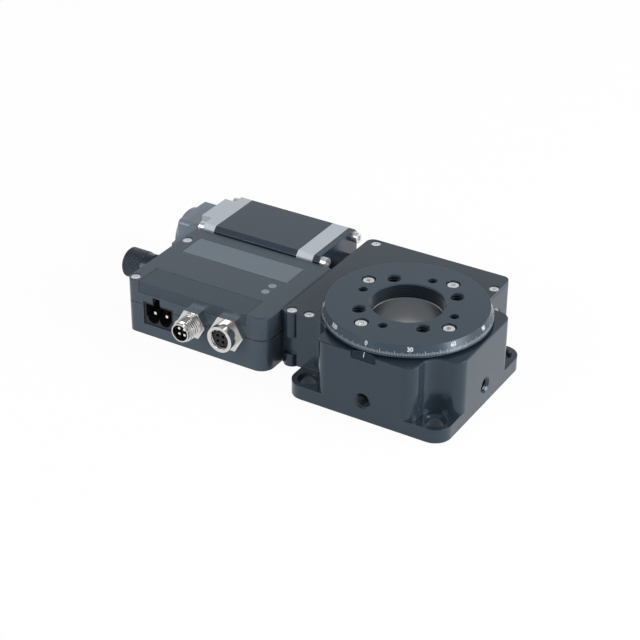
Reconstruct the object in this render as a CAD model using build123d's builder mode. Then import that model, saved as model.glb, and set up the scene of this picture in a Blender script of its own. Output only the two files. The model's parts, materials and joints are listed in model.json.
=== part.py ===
from build123d import *
import os
from math import atan, cos, degrees, pi, radians, sin, tan

# Motorized rotation stage: a flat-topped gear housing on four feet, a graduated
# table turned by a worm and wheel, a stepper motor with an encoder, and a
# controller box with a knob, a power inlet and two round data connectors.
# Origin: the table's axis on the underside of the base. +Z is up, +X points from
# the motor to the table, and -Y is the side that carries the connectors.
# All sizes are millimetres.

os.makedirs("parts", exist_ok=True)

# Housing: the square base and its deck
base_side = 62.0
foot_thick = 5.3
foot_corner_r = 6.3
foot_pitch = 50.0
foot_hole_d = 6.6
foot_hole_chamfer = 0.6
deck_z = 26.2
notch_side = 11.7
notch_inner_r = 6.0
notch_outer_r = 4.5
edge_break = 0.35
same_place = 1e-6
side_tap_d = 5.0
side_tap_depth = 6.0
side_tap_z = 7.7
tap_chamfer = 0.7
drill_point_angle = 118.0

# Housing: the gearbox behind and beside the base
gear_left_x = -39.2
gear_rear_y = 42.6
gear_floor_z = 4.6
gear_corner_r = 3.0
boss_r = 3.1
boss_back = 1.5
ear_r = 2.9
boss_slot_z = (9.5, 16.5)
boss_slot_depth = 1.6
plate_thick = 1.2
plate_seam_x = -27.4
plate_fit = 0.05

# Small flat-head screws of the covers
screw_head_d = 3.4
screw_head_h = 0.7
screw_shank_d = 2.0
screw_fit = 0.05
screw_sink = 0.35
screw_cross_l = 1.9
screw_cross_w = 0.55
screw_cross_h = 0.45
cover_screw_inset = 2.0
rear_screw_inset = (4.0, 2.6)
right_screw_back = 10.0
cover_screw_length = 6.0

# Table
table_r = 30.0
table_top_r = 28.65
table_thick = 4.0
table_rim_flat = 0.45
rim_gap = 1.0
hub_r = 25.6
hub_drop = 2.8
bore_thread_r = 13.15
bore_chamfer = 0.35
table_tap_grid = 25.0
table_tap_d = 5.0
pin_hole_grid = 25.4
pin_hole_d = 3.5
clamp_screw_r = 21.08
clamp_screw_turn = -20.2
cap_head_d = 4.1
cap_head_h = 2.5
cap_pocket_d = 5.3
cap_shank_d = 2.5
cap_socket_d = 2.0
cap_socket_depth = 1.2
cap_sink = 0.5
clamp_tip_gap = 0.4

# Spindle and its bearing
tube_bore_r = 12.63
tube_r = 15.0
tube_lip_z = 25.84
tube_lip_chamfer = 0.25
spigot_step = 0.3
spigot_fit = 0.05
spindle_foot_z = 1.2
flange_r = 23.5
flange_thick = 3.6
bearing_section = 6.0
register_step = 0.5
register_depth = 1.2
bearing_z = (3.2, 9.7)
ball_r = 1.75
ball_fit = 0.06
ball_count = 14
cage_half_thick = 0.45
race_land = 1.15
shoulder_lip = 1.6
base_ring_width = 2.0
lock_nut_width = 3.4
lock_nut_slot = 3.0
cage_half_height = 2.0
wheel_pin_r = 0.8
wheel_pin_inset = 1.8
wheel_pin_count = 3
wheel_pin_length = 6.0

# Worm and wheel
tooth_module = 0.7
wheel_teeth = 72
pressure_angle = 20.0
worm_pitch_r = 4.4
worm_z = 14.1
wheel_width = 5.0
wheel_hub_wall = 3.5
flank_clearance = 0.11
root_factor = 1.25
worm_length = 15.4
worm_turns = 6
thread_phase = 0.25
thread_sink = 0.15
worm_shaft_r = 2.5
worm_shaft_x = (-35.0, 16.4)
worm_core_relief_r = 3.2
small_bearing_r = 5.5
small_bearing_width = 4.0
small_bearing_inner_r = 3.6
small_bearing_gap = 0.1
worm_bearing_x = (-17.5, 12.6)
tunnel_lip_x = -19.5
tunnel_lip_r = 4.5
wheel_pocket_gap = 0.6
tunnel_wall_clear = 0.7
end_cap_thick = 2.4
end_cap_relief = 0.6
hex_key_d = 3.0
hex_key_depth = 0.8

# Coupling between motor and worm
coupling_r = 5.0
coupling_x = (-43.6, -29.8)
spider_thick = 2.2
coupling_bore_r = 6.3
coupling_jaw = 3.0
coupling_core_r = 2.6
jaw_gap = 0.3

# Motor
motor_side = 28.2
motor_chamfer = 1.6
motor_stack_x = (-91.4, -55.1)
motor_front_x = -48.2
motor_rear_step_x = -96.4
motor_rear_x = -100.9
rear_cross_half = 8.0
motor_bolt_pitch = 23.0
rotor_r = 7.6
rotor_gap = 0.4
rotor_inset = 3.0
rotor_split = 1.6
rotor_split_depth = 1.0
winding_r = (8.6, 12.0)
winding_length = 3.2
winding_end_gap = 0.4
coil_circle_r = 10.6
coil_r = 1.3
coil_count = 8
cap_cavity_r = 12.4
bearing_cup_r = 8.2
shaft_hole_r = 3.1
cap_wall = 1.6
motor_shaft_r = 2.5
motor_shaft_chamfer = 0.3
motor_shaft_x = (-107.0, -38.4)
motor_bearing_r = 6.5
motor_bearing_width = 4.0
mount_plate_x = -45.6
mount_neck_r = 9.4
mount_spigot_r = 7.4
mount_spigot_length = 6.0
bolt_shank_d = 2.4
through_bolt_tip_x = -53.8
mount_screw_tip_x = -51.6

# Encoder on the back of the motor
encoder_side = 20.0
encoder_x = -110.9
encoder_cap_x = -113.0
encoder_corner_r = 2.0
encoder_chamfer = 0.6
encoder_wall = 1.5
encoder_disc_r = 7.0
encoder_disc_thick = 1.2
encoder_board_thick = 1.0
encoder_chip_h = 0.8
encoder_chip = (3.4, 2.6)
encoder_disc_x = -103.6
encoder_screw_spots = [(-7.6, 7.6), (7.6, -7.6)]
duct_y = (7.0, 15.2)
duct_x = (-105.0, -101.1)
duct_z = (8.0, 24.1)
duct_slope = 2.6
duct_wall = 1.2
duct_window_side = 2.4
duct_window_x = -103.0
duct_window_z = 12.6
duct_bend_y = 11.2

# Controller box
box_left_x = -99.2
box_right_x = -39.6
box_front_y = -29.5
box_rear_y = 15.2
box_bottom_z = 4.6
box_split_z = 17.2
box_wall = 2.0
box_floor = 2.2
box_pad_x = -39.2
box_pad_y = (-17.0, 13.0)
box_pad_z = (6.6, 15.2)
box_boss_r = 2.2
box_link_y = (-8.0, 8.0)
box_link_z = 11.9
box_right_r = 5.0
box_left_r = 3.0
box_rear_r = 1.0
split_groove = 0.4
box_top_chamfer = 0.5
label_depth = 0.3
rear_label_x = (-93.2, -47.5)
rear_label_y = (-3.0, 9.2)
front_label_y = -18.4
front_label_x = (-93.6, -47.7)
box_screw_x = -96.6
box_screw_y = (-27.0, 5.5)
box_screw_length = 12.0
link_screw_length = 7.0
label_sink = 0.05
label_margin = 0.3
front_label_z = 21.6
led_d = 3.0
led_x = -50.8
led_y = (-7.4, -12.1)
board_thick = 1.6
board_z = 19.6
board_x = (-86.0, -43.5)
board_y = (-15.5, 11.5)
post_r = 2.0
post_inset = 3.2
board_screw_head_r = 1.6
board_screw_head_h = 1.0
board_screw_shank_r = 0.8
board_screw_length = 5.0
board_screw_tip_gap = 0.5
board_chips = [(-70.0, 3.0, 9.0, 9.0, 1.4), (-57.5, 4.5, 7.0, 5.0, 1.2), (-79.5, -7.0, 6.0, 4.0, 1.8)]
board_chips_below = [(-60.0, 0.0, 8.0, 8.0, 5.5), (-76.0, 2.0, 7.0, 6.0, 3.0)]

# Power inlet, two pins
power_x = (-91.9, -78.9)
power_z = (9.1, 18.4)
power_latch_x = (-87.7, -84.6)
power_latch_z = 20.9
power_wall = 0.9
power_depth = 9.0
power_cavity_depth = 7.6
power_recess = 0.4
power_lobe_r = 2.5
power_pin_pitch = 5.08
power_pin_side = 1.0
power_pin_length = 6.4
power_tail = 3.0
power_pin_z = 13.75
power_latch_depth = 4.0

# Round data connectors
m8_z = 17.2
male_x = -69.0
male_reach = 9.9
male_tip_r = 3.55
male_thread_r = 4.0
male_tip_length = 1.6
male_bore_r = 3.1
male_bore_depth = 6.6
male_nut_flats = 10.0
male_nut_thick = 3.0
female_x = -54.8
female_reach = 6.4
female_r = 5.0
female_bore_r = 3.9
female_bore_depth = 2.2
female_core_r = 2.9
female_core_back = 0.8
female_nut_flats = 12.0
female_nut_thick = 2.0
m8_body_r = 4.4
m8_back_y = -21.5
m8_pin_r = 0.5
m8_pin_circle_r = 1.55
m8_pin_length = 5.4
m8_pin_tail = 1.5
m8_socket_gap = 0.1

# Knob
knob_y = -5.2
knob_z = 16.5
knob_r = 5.75
knob_x = (-115.7, -104.2)
knob_skirt_x = -107.4
knob_skirt_r = 5.4
knob_chamfer = 0.6
knob_shaft_r = 1.5
knob_shaft_x = (-113.4, -94.6)
shaft_fit = 0.05
bush_r = 3.4
bush_tip_x = -102.4
bush_nut_r = 4.6
bush_nut_thick = 1.4
knob_encoder_side = 9.0
knob_encoder_depth = 6.4
plunger_r = 2.2
plunger_thick = 1.2
knob_cavity_wall = 1.2
knob_cavity_r = 2.6
knob_collar_thick = 1.0
knob_collar_r = 2.0
knob_recess_r = 4.6
knob_recess_depth = 2.0

# Index plate and home sensor
index_width = 9.4
index_height = 2.5
index_wall = 1.0
index_setback = 0.2
index_rise = 0.75
index_brow_back = 0.7
index_brow_z = 24.9
index_fit = 0.05
home_inset = 1.4
home_magnet_r = 1.5
home_magnet_h = 2.0
home_board_r = 23.1
home_board_x = 3.8
home_board_y = 9.0
home_board_h = 0.8
home_chip_side = 2.0
home_chip_h = 0.6
home_pocket_depth = 1.2
home_wire_r = 0.6
home_wire_gap = 0.2
home_wire_z = 10.5
home_wire_x = (-43.0, -25.0)

# Levels and places that follow from the driving sizes
base_half = base_side / 2
drill_point_h = side_tap_d / 2 / tan(radians(drill_point_angle / 2))
index_front_y = index_setback - base_half
index_brow_y = index_front_y + index_brow_back
bearing_r = tube_r + bearing_section
home_r = bearing_r + home_inset
register_r = bearing_r + register_step
shoulder_r = bearing_r - shoulder_lip
base_ring_bore_r = bearing_r - base_ring_width
lock_nut_r = tube_r + lock_nut_width
wheel_hub_r = tube_r + wheel_hub_wall
wheel_pin_circle_r = tube_r + wheel_pin_inset
notch_line = base_half - notch_side
plate_z = deck_z - plate_thick
table_bottom_z = deck_z + rim_gap
table_top_z = table_bottom_z + table_thick
hub_bottom_z = table_bottom_z - hub_drop
flange_bottom_z = hub_bottom_z - flange_thick
wheel_pitch_r = tooth_module * wheel_teeth / 2
wheel_tip_r = wheel_pitch_r + tooth_module
wheel_root_r = wheel_pitch_r - root_factor * tooth_module
worm_y = wheel_pitch_r + worm_pitch_r
worm_tip_r = worm_pitch_r + tooth_module
worm_root_r = worm_pitch_r - root_factor * tooth_module
worm_pitch = pi * tooth_module
wheel_z = (worm_z - wheel_width / 2, worm_z + wheel_width / 2)
pocket_r = wheel_tip_r + wheel_pocket_gap
pocket_floor_z = wheel_z[0] - wheel_pocket_gap
index_back_y = -pocket_r - index_wall
index_depth = index_back_y - index_front_y
tube_spigot_r = bore_thread_r + spigot_step
ball_circle_r = (tube_r + bearing_r) / 2
ball_z = (bearing_z[0] + bearing_z[1]) / 2
front_bearing_x = motor_front_x - cap_wall - motor_bearing_width
rear_bearing_x = motor_rear_x + cap_wall
encoder_half = encoder_side / 2
encoder_inner_side = encoder_side - 2 * encoder_wall
encoder_inner_r = encoder_corner_r / 2
motor_mid_x = (motor_stack_x[0] + motor_stack_x[1]) / 2
power_mid_x = (power_x[0] + power_x[1]) / 2
box_screw_spots = [(box_screw_x, y) for y in box_screw_y]
board_posts = [
    (x, y)
    for x in (board_x[0] + post_inset, board_x[1] - post_inset)
    for y in (board_y[0] + post_inset, board_y[1] - post_inset)
]
cover_screw_spots = [
    (gear_left_x + boss_r, -notch_line + boss_back),
    (plate_seam_x - cover_screw_inset, -notch_line + cover_screw_inset),
    (gear_left_x + rear_screw_inset[0], gear_rear_y - rear_screw_inset[1]),
    (notch_line - cover_screw_inset, gear_rear_y - right_screw_back),
]
bore_of_wire_r = home_wire_r + home_wire_gap
coil_turn = 180 / coil_count
power_width = power_x[1] - power_x[0]
power_height = power_z[1] - power_z[0]
power_front_y = box_front_y + power_recess
power_latch_mid_x = (power_latch_x[0] + power_latch_x[1]) / 2
power_latch_width = power_latch_x[1] - power_latch_x[0]
power_pin_spots = [(-power_pin_pitch / 2, 0), (power_pin_pitch / 2, 0)]
rear_label_width = rear_label_x[1] - rear_label_x[0]
rear_label_side = rear_label_y[1] - rear_label_y[0]
rear_label_mid = ((rear_label_x[0] + rear_label_x[1]) / 2, (rear_label_y[0] + rear_label_y[1]) / 2)
front_label_width = front_label_x[1] - front_label_x[0]
front_label_mid_x = (front_label_x[0] + front_label_x[1]) / 2
coupling_mid_x = (coupling_x[0] + coupling_x[1]) / 2
spider_x = (coupling_mid_x - spider_thick / 2, coupling_mid_x + spider_thick / 2)
m8_shell_length = m8_back_y - box_front_y

# Planes along the shafts: local X is world Y, local Y is world Z
drive_line = Plane(origin=(0, worm_y, worm_z), x_dir=(0, 1, 0), z_dir=(1, 0, 0))
knob_line = Plane(origin=(0, knob_y, knob_z), x_dir=(0, 1, 0), z_dir=(1, 0, 0))
duct_line = Plane(origin=(box_left_x, duct_bend_y, duct_window_z), x_dir=(0, 1, 0), z_dir=(1, 0, 0))


def front_plane(x, y, z):
    """Plane on the connector side: local X is world X, local Y is world Z, and it faces -Y."""
    return Plane(origin=(x, y, z), x_dir=(1, 0, 0), z_dir=(0, -1, 0))


# Housing
with BuildSketch(Plane.XY.offset(plate_z)) as plate_outline:
    with Locations(((gear_left_x + notch_line) / 2, (notch_line + gear_rear_y) / 2)):
        Rectangle(notch_line - gear_left_x, gear_rear_y - notch_line)
    with Locations(((gear_left_x + plate_seam_x) / 2, (gear_rear_y - notch_line) / 2)):
        Rectangle(plate_seam_x - gear_left_x, gear_rear_y + notch_line)
    fillet(plate_outline.vertices().group_by(Axis.Y)[-1], gear_corner_r)
    with Locations(cover_screw_spots[1]):
        Circle(ear_r)
    with Locations((0, -notch_line)):
        Rectangle(2 * base_side, base_side, align=(Align.CENTER, Align.MAX), mode=Mode.SUBTRACT)
    with Locations(cover_screw_spots[0]):
        Circle(boss_r)
    Circle(pocket_r, mode=Mode.SUBTRACT)

with BuildPart() as housing_body:
    with BuildSketch():
        RectangleRounded(base_side, base_side, foot_corner_r)
    extrude(amount=foot_thick)
    with BuildSketch(Plane.XY.offset(foot_thick)) as deck_outline:
        Rectangle(base_side, base_side)
        with GridLocations(base_side, base_side, 2, 2):
            Rectangle(2 * notch_side, 2 * notch_side, mode=Mode.SUBTRACT)
        inner_corners = deck_outline.vertices().filter_by(lambda v: abs(abs(v.X) - abs(v.Y)) < same_place)
        fillet(inner_corners, notch_inner_r)
        outer_corners = deck_outline.vertices().filter_by(
            lambda v: max(abs(v.X), abs(v.Y)) > base_half - same_place
        )
        fillet(outer_corners, notch_outer_r)
    extrude(amount=deck_z - foot_thick)
    chamfer(housing_body.faces().sort_by(Axis.Z)[-1].edges(), edge_break)
    with BuildSketch(Plane.XY.offset(gear_floor_z)) as gear_outline:
        with Locations(((gear_left_x + notch_line) / 2, gear_rear_y / 2)):
            Rectangle(notch_line - gear_left_x, gear_rear_y)
        with Locations((gear_left_x / 2, (gear_rear_y - notch_line) / 2)):
            Rectangle(-gear_left_x, gear_rear_y + notch_line)
        fillet(gear_outline.vertices().group_by(Axis.Y)[-1], gear_corner_r)
        with Locations(cover_screw_spots[0]):
            Circle(boss_r)
    extrude(amount=deck_z - gear_floor_z)
    # Slot across the front of the screw boss
    with BuildSketch(Plane.XY.offset(boss_slot_z[0])):
        with Locations((cover_screw_spots[0][0], cover_screw_spots[0][1] - boss_r + boss_slot_depth)):
            Rectangle(2 * boss_r, 2 * boss_r, align=(Align.CENTER, Align.MAX))
    extrude(amount=boss_slot_z[1] - boss_slot_z[0], mode=Mode.SUBTRACT)
    # Seat of the cover plate, open to the sides
    add(plate_outline.sketch)
    extrude(amount=plate_thick, mode=Mode.SUBTRACT)
    # Wheel pocket from above, bearing seat from below
    with Locations((0, 0, pocket_floor_z)):
        Cylinder(pocket_r, deck_z, align=(Align.CENTER, Align.CENTER, Align.MIN), mode=Mode.SUBTRACT)
    Cylinder(shoulder_r, 2 * deck_z, mode=Mode.SUBTRACT)
    Cylinder(bearing_r, 2 * bearing_z[1], mode=Mode.SUBTRACT)
    Cylinder(register_r, 2 * register_depth, mode=Mode.SUBTRACT)
    # Worm pocket under the cover plate
    with BuildSketch(Plane.XY.offset(plate_z)):
        with Locations((0, worm_y - worm_tip_r)):
            Rectangle(
                2 * worm_bearing_x[1] - 2 * tunnel_wall_clear,
                2 * (worm_tip_r + tunnel_wall_clear),
                align=(Align.CENTER, Align.MIN),
            )
    extrude(amount=worm_z - worm_tip_r - tunnel_wall_clear - plate_z, mode=Mode.SUBTRACT)
    # Drive line: coupling tunnel, bearing seats, spigot seat
    with BuildSketch(drive_line.offset(gear_left_x)):
        Circle(mount_spigot_r)
    extrude(amount=mount_spigot_length, mode=Mode.SUBTRACT)
    with BuildSketch(drive_line.offset(gear_left_x)):
        Circle(coupling_bore_r)
    extrude(amount=tunnel_lip_x - gear_left_x, mode=Mode.SUBTRACT)
    with BuildSketch(drive_line.offset(tunnel_lip_x)):
        Circle(tunnel_lip_r)
    extrude(amount=worm_bearing_x[0] - tunnel_lip_x, mode=Mode.SUBTRACT)
    with BuildSketch(drive_line.offset(worm_bearing_x[0])):
        Circle(small_bearing_r)
    extrude(amount=base_side, mode=Mode.SUBTRACT)
    # Pocket of the home sensor in the floor, and the drilled way out for its wires
    with BuildSketch(Plane.XY.offset(pocket_floor_z)):
        with Locations((-home_board_r, 0)):
            Rectangle(home_board_x, home_board_y)
    extrude(amount=-home_pocket_depth, mode=Mode.SUBTRACT)
    with BuildSketch(Plane(origin=(gear_left_x, 0, home_wire_z), z_dir=(1, 0, 0))):
        Circle(bore_of_wire_r)
    extrude(amount=home_wire_x[1] - gear_left_x, mode=Mode.SUBTRACT)
    # Tapped holes for the cover screws and for the controller's two screws
    with Locations(*[(x, y, plate_z) for x, y in cover_screw_spots]):
        Cylinder(
            screw_shank_d / 2,
            cover_screw_length,
            align=(Align.CENTER, Align.CENTER, Align.MAX),
            mode=Mode.SUBTRACT,
        )
    for y in box_link_y:
        with BuildSketch(Plane(origin=(gear_left_x, y, box_link_z), z_dir=(1, 0, 0))):
            Circle(screw_shank_d / 2)
        extrude(amount=cover_screw_length, mode=Mode.SUBTRACT)
    # Seat of the index plate in the front edge
    with Locations((0, -base_half, deck_z - index_height)):
        Box(
            index_width + 2 * index_fit,
            2 * (base_half + index_back_y),
            deck_z,
            align=(Align.CENTER, Align.CENTER, Align.MIN),
            mode=Mode.SUBTRACT,
        )
    # Holes in the feet; the fourth foot lies under the gearbox
    with Locations(
        (-foot_pitch / 2, -foot_pitch / 2, foot_thick),
        (foot_pitch / 2, -foot_pitch / 2, foot_thick),
        (foot_pitch / 2, foot_pitch / 2, foot_thick),
    ):
        Cylinder(foot_hole_d / 2, 2 * foot_thick, mode=Mode.SUBTRACT)
        Cone(
            foot_hole_d / 2,
            foot_hole_d / 2 + foot_hole_chamfer,
            foot_hole_chamfer,
            align=(Align.CENTER, Align.CENTER, Align.MAX),
            mode=Mode.SUBTRACT,
        )
    # Tapped holes in the front and right faces
    for side in (
        front_plane(0, -base_half, side_tap_z),
        Plane(origin=(base_half, 0, side_tap_z), z_dir=(1, 0, 0)),
    ):
        with BuildSketch(side):
            Circle(side_tap_d / 2)
        extrude(amount=-side_tap_depth, mode=Mode.SUBTRACT)
        with BuildSketch(side):
            Circle(side_tap_d / 2 + tap_chamfer)
        extrude(amount=-tap_chamfer, taper=45, mode=Mode.SUBTRACT)
        with Locations(side.offset(-side_tap_depth)):
            Cone(
                0,
                side_tap_d / 2,
                drill_point_h,
                align=(Align.CENTER, Align.CENTER, Align.MAX),
                mode=Mode.SUBTRACT,
            )
housing_body.part.label = "housing_body"
export_step(housing_body.part, "parts/housing_body.step")

with BuildPart() as cover_plate:
    with BuildSketch(Plane.XY.offset(plate_z)):
        add(plate_outline.sketch_local)
        offset(amount=-plate_fit)
    extrude(amount=plate_thick)
    with Locations(*[(x, y, deck_z) for x, y in cover_screw_spots]):
        CounterSinkHole(
            radius=screw_shank_d / 2 + screw_fit,
            counter_sink_radius=screw_head_d / 2 + screw_sink + screw_fit,
            depth=plate_thick,
            counter_sink_angle=90,
        )
cover_plate.part.label = "cover_plate"
export_step(cover_plate.part, "parts/cover_plate.step")

with BuildPart() as cover_screws:
    with Locations(*[(x, y, deck_z - screw_sink) for x, y in cover_screw_spots]):
        Cone(screw_shank_d / 2, screw_head_d / 2, screw_head_h, align=(Align.CENTER, Align.CENTER, Align.MAX))
        Cylinder(screw_shank_d / 2, cover_screw_length, align=(Align.CENTER, Align.CENTER, Align.MAX))
        Box(screw_cross_l, screw_cross_w, 2 * screw_cross_h, mode=Mode.SUBTRACT)
        Box(screw_cross_w, screw_cross_l, 2 * screw_cross_h, mode=Mode.SUBTRACT)
cover_screws.part.label = "cover_screws"
export_step(cover_screws.part, "parts/cover_screws.step")

with BuildPart() as index_plate:
    with BuildSketch(front_plane(0, index_back_y, deck_z - index_height)):
        with BuildLine():
            Polyline(
                (-index_width / 2, index_height),
                (-index_width / 2, 0),
                (index_width / 2, 0),
                (index_width / 2, index_height),
            )
            ThreePointArc(
                (index_width / 2, index_height),
                (0, index_height + index_rise),
                (-index_width / 2, index_height),
            )
        make_face()
    extrude(amount=index_back_y - index_front_y)
    with BuildSketch(Plane.YZ.offset(-index_width)):
        with BuildLine():
            Polyline(
                (index_front_y, index_brow_z),
                (index_brow_y, deck_z + index_rise),
                (index_brow_y, deck_z + index_height),
                (index_front_y - index_depth, deck_z + index_height),
                (index_front_y - index_depth, index_brow_z),
                close=True,
            )
        make_face()
    extrude(amount=2 * index_width, mode=Mode.SUBTRACT)
index_plate.part.label = "index_plate"
export_step(index_plate.part, "parts/index_plate.step")

# Table and everything that turns with it
with BuildPart() as table_disc:
    with BuildSketch(Plane.XZ):
        with BuildLine():
            Polyline(
                (bore_thread_r, tube_lip_z + spigot_fit),
                (tube_spigot_r + spigot_fit, tube_lip_z + spigot_fit),
                (tube_spigot_r + spigot_fit, hub_bottom_z),
                (hub_r, hub_bottom_z),
                (hub_r, table_bottom_z),
                (table_r, table_bottom_z),
                (table_r, table_bottom_z + table_rim_flat),
                (table_top_r, table_top_z),
                (bore_thread_r + bore_chamfer, table_top_z),
                (bore_thread_r, table_top_z - bore_chamfer),
                close=True,
            )
        make_face()
    revolve(axis=Axis.Z)
    with Locations((0, 0, table_top_z)):
        with GridLocations(table_tap_grid, table_tap_grid, 2, 2):
            Cylinder(table_tap_d / 2, 2 * table_top_z, mode=Mode.SUBTRACT)
            Cone(
                table_tap_d / 2,
                table_tap_d / 2 + tap_chamfer / 2,
                tap_chamfer / 2,
                align=(Align.CENTER, Align.CENTER, Align.MAX),
                mode=Mode.SUBTRACT,
            )
        with PolarLocations(pin_hole_grid / 2 ** 0.5, 4):
            Cylinder(pin_hole_d / 2, 2 * table_top_z, mode=Mode.SUBTRACT)
        with PolarLocations(clamp_screw_r, 4, start_angle=clamp_screw_turn):
            Cylinder(cap_pocket_d / 2, 2 * (cap_head_h + cap_sink), mode=Mode.SUBTRACT)
            Cylinder(cap_shank_d / 2 + screw_fit, 2 * table_top_z, mode=Mode.SUBTRACT)
table_disc.part.label = "table_disc"
export_step(table_disc.part, "parts/table_disc.step")

with BuildPart() as table_screws:
    with Locations((0, 0, table_top_z - cap_sink)):
        with PolarLocations(clamp_screw_r, 4, start_angle=clamp_screw_turn):
            Cylinder(cap_head_d / 2, cap_head_h, align=(Align.CENTER, Align.CENTER, Align.MAX))
            Cylinder(
                cap_shank_d / 2,
                table_top_z - cap_sink - flange_bottom_z - clamp_tip_gap,
                align=(Align.CENTER, Align.CENTER, Align.MAX),
            )
    with BuildSketch(Plane.XY.offset(table_top_z - cap_sink)):
        with PolarLocations(clamp_screw_r, 4, start_angle=clamp_screw_turn):
            RegularPolygon(cap_socket_d / 2, 6, major_radius=False)
    extrude(amount=-cap_socket_depth, mode=Mode.SUBTRACT)
table_screws.part.label = "table_screws"
export_step(table_screws.part, "parts/table_screws.step")

with BuildPart() as spindle:
    with BuildSketch(Plane.XZ):
        with BuildLine():
            Polyline(
                (tube_bore_r, spindle_foot_z),
                (tube_r, spindle_foot_z),
                (tube_r, wheel_z[1]),
                (wheel_hub_r, wheel_z[1]),
                (wheel_hub_r, flange_bottom_z),
                (flange_r, flange_bottom_z),
                (flange_r, hub_bottom_z),
                (tube_spigot_r, hub_bottom_z),
                (tube_spigot_r, tube_lip_z),
                (tube_bore_r + tube_lip_chamfer, tube_lip_z),
                (tube_bore_r, tube_lip_z - tube_lip_chamfer),
                close=True,
            )
        make_face()
    revolve(axis=Axis.Z)
    with Locations((0, 0, hub_bottom_z)):
        with PolarLocations(clamp_screw_r, 4, start_angle=clamp_screw_turn):
            Cylinder(cap_shank_d / 2, 4 * flange_thick, mode=Mode.SUBTRACT)
    with Locations((0, 0, wheel_z[1])):
        with PolarLocations(wheel_pin_circle_r, wheel_pin_count):
            Cylinder(wheel_pin_r, wheel_pin_length, mode=Mode.SUBTRACT)
spindle.part.label = "spindle"
export_step(spindle.part, "parts/spindle.step")

# Tooth section of the wheel: trapezoids, with a gap on the side of the worm
tooth_half = (worm_pitch / 2 - flank_clearance) / 2
flank_slope = tan(radians(pressure_angle))
root_half = degrees((tooth_half + root_factor * tooth_module * flank_slope) / wheel_root_r)
crest_half = tooth_half - tooth_module * flank_slope
tip_half = degrees(crest_half / wheel_tip_r)
thread_base = root_factor * tooth_module + thread_sink
thread_base_half = tooth_half + thread_base * flank_slope
lead_angle = degrees(atan(worm_pitch / (2 * pi * worm_pitch_r)))
tooth_twist = degrees(tan(radians(lead_angle)) / wheel_pitch_r) * wheel_width
wheel_points = []
for tooth in range(wheel_teeth):
    middle = 90 + (tooth + 0.5) * 360 / wheel_teeth
    for r, turn in (
        (wheel_root_r, -root_half),
        (wheel_tip_r, -tip_half),
        (wheel_tip_r, tip_half),
        (wheel_root_r, root_half),
    ):
        wheel_points.append((r * cos(radians(middle + turn)), r * sin(radians(middle + turn))))

with BuildPart() as worm_wheel:
    for z, turn in ((wheel_z[0], -tooth_twist / 2), (wheel_z[1], tooth_twist / 2)):
        with BuildSketch(Plane.XY.offset(z)):
            Polygon(*wheel_points, rotation=turn, align=None)
    loft(ruled=True)
    with Locations((0, 0, bearing_z[1])):
        Cylinder(wheel_hub_r, wheel_z[1] - bearing_z[1], align=(Align.CENTER, Align.CENTER, Align.MIN))
    Cylinder(tube_r, 2 * deck_z, mode=Mode.SUBTRACT)
    with Locations((-home_r, 0, wheel_z[0])):
        Cylinder(home_magnet_r, 2 * home_magnet_h, mode=Mode.SUBTRACT)
    with Locations((0, 0, wheel_z[1])):
        with PolarLocations(wheel_pin_circle_r, wheel_pin_count):
            Cylinder(wheel_pin_r, wheel_pin_length, mode=Mode.SUBTRACT)
worm_wheel.part.label = "worm_wheel"
export_step(worm_wheel.part, "parts/worm_wheel.step")

with BuildPart() as wheel_pins:
    with Locations((0, 0, wheel_z[1])):
        with PolarLocations(wheel_pin_circle_r, wheel_pin_count):
            Cylinder(wheel_pin_r, wheel_pin_length)
wheel_pins.part.label = "wheel_pins"
export_step(wheel_pins.part, "parts/wheel_pins.step")

with BuildPart() as home_magnet:
    with Locations((-home_r, 0, wheel_z[0])):
        Cylinder(home_magnet_r, home_magnet_h, align=(Align.CENTER, Align.CENTER, Align.MIN))
home_magnet.part.label = "home_magnet"
export_step(home_magnet.part, "parts/home_magnet.step")

with BuildPart() as lock_nut:
    with BuildSketch(Plane.XY.offset(spindle_foot_z)):
        Circle(lock_nut_r)
        Circle(tube_r, mode=Mode.SUBTRACT)
        with PolarLocations(lock_nut_r, 4):
            Rectangle(lock_nut_slot, lock_nut_slot, mode=Mode.SUBTRACT)
    extrude(amount=bearing_z[0] - spindle_foot_z)
lock_nut.part.label = "lock_nut"
export_step(lock_nut.part, "parts/lock_nut.step")

# Table bearing
with BuildPart() as bearing_inner_ring:
    with BuildSketch(Plane.XZ):
        with Locations((tube_r, ball_z)):
            Rectangle(
                ball_circle_r - race_land - tube_r,
                bearing_z[1] - bearing_z[0],
                align=(Align.MIN, Align.CENTER),
            )
        with Locations((ball_circle_r, ball_z)):
            Circle(ball_r + ball_fit, mode=Mode.SUBTRACT)
    revolve(axis=Axis.Z)
bearing_inner_ring.part.label = "bearing_inner_ring"
export_step(bearing_inner_ring.part, "parts/bearing_inner_ring.step")

with BuildPart() as bearing_outer_ring:
    with BuildSketch(Plane.XZ):
        with Locations((bearing_r, ball_z)):
            Rectangle(
                bearing_r - ball_circle_r - race_land,
                bearing_z[1] - bearing_z[0],
                align=(Align.MAX, Align.CENTER),
            )
        with Locations((ball_circle_r, ball_z)):
            Circle(ball_r + ball_fit, mode=Mode.SUBTRACT)
    revolve(axis=Axis.Z)
bearing_outer_ring.part.label = "bearing_outer_ring"
export_step(bearing_outer_ring.part, "parts/bearing_outer_ring.step")

with BuildPart() as bearing_balls:
    with Locations((0, 0, ball_z)):
        with PolarLocations(ball_circle_r, ball_count):
            Sphere(ball_r)
bearing_balls.part.label = "bearing_balls"
export_step(bearing_balls.part, "parts/bearing_balls.step")

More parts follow.
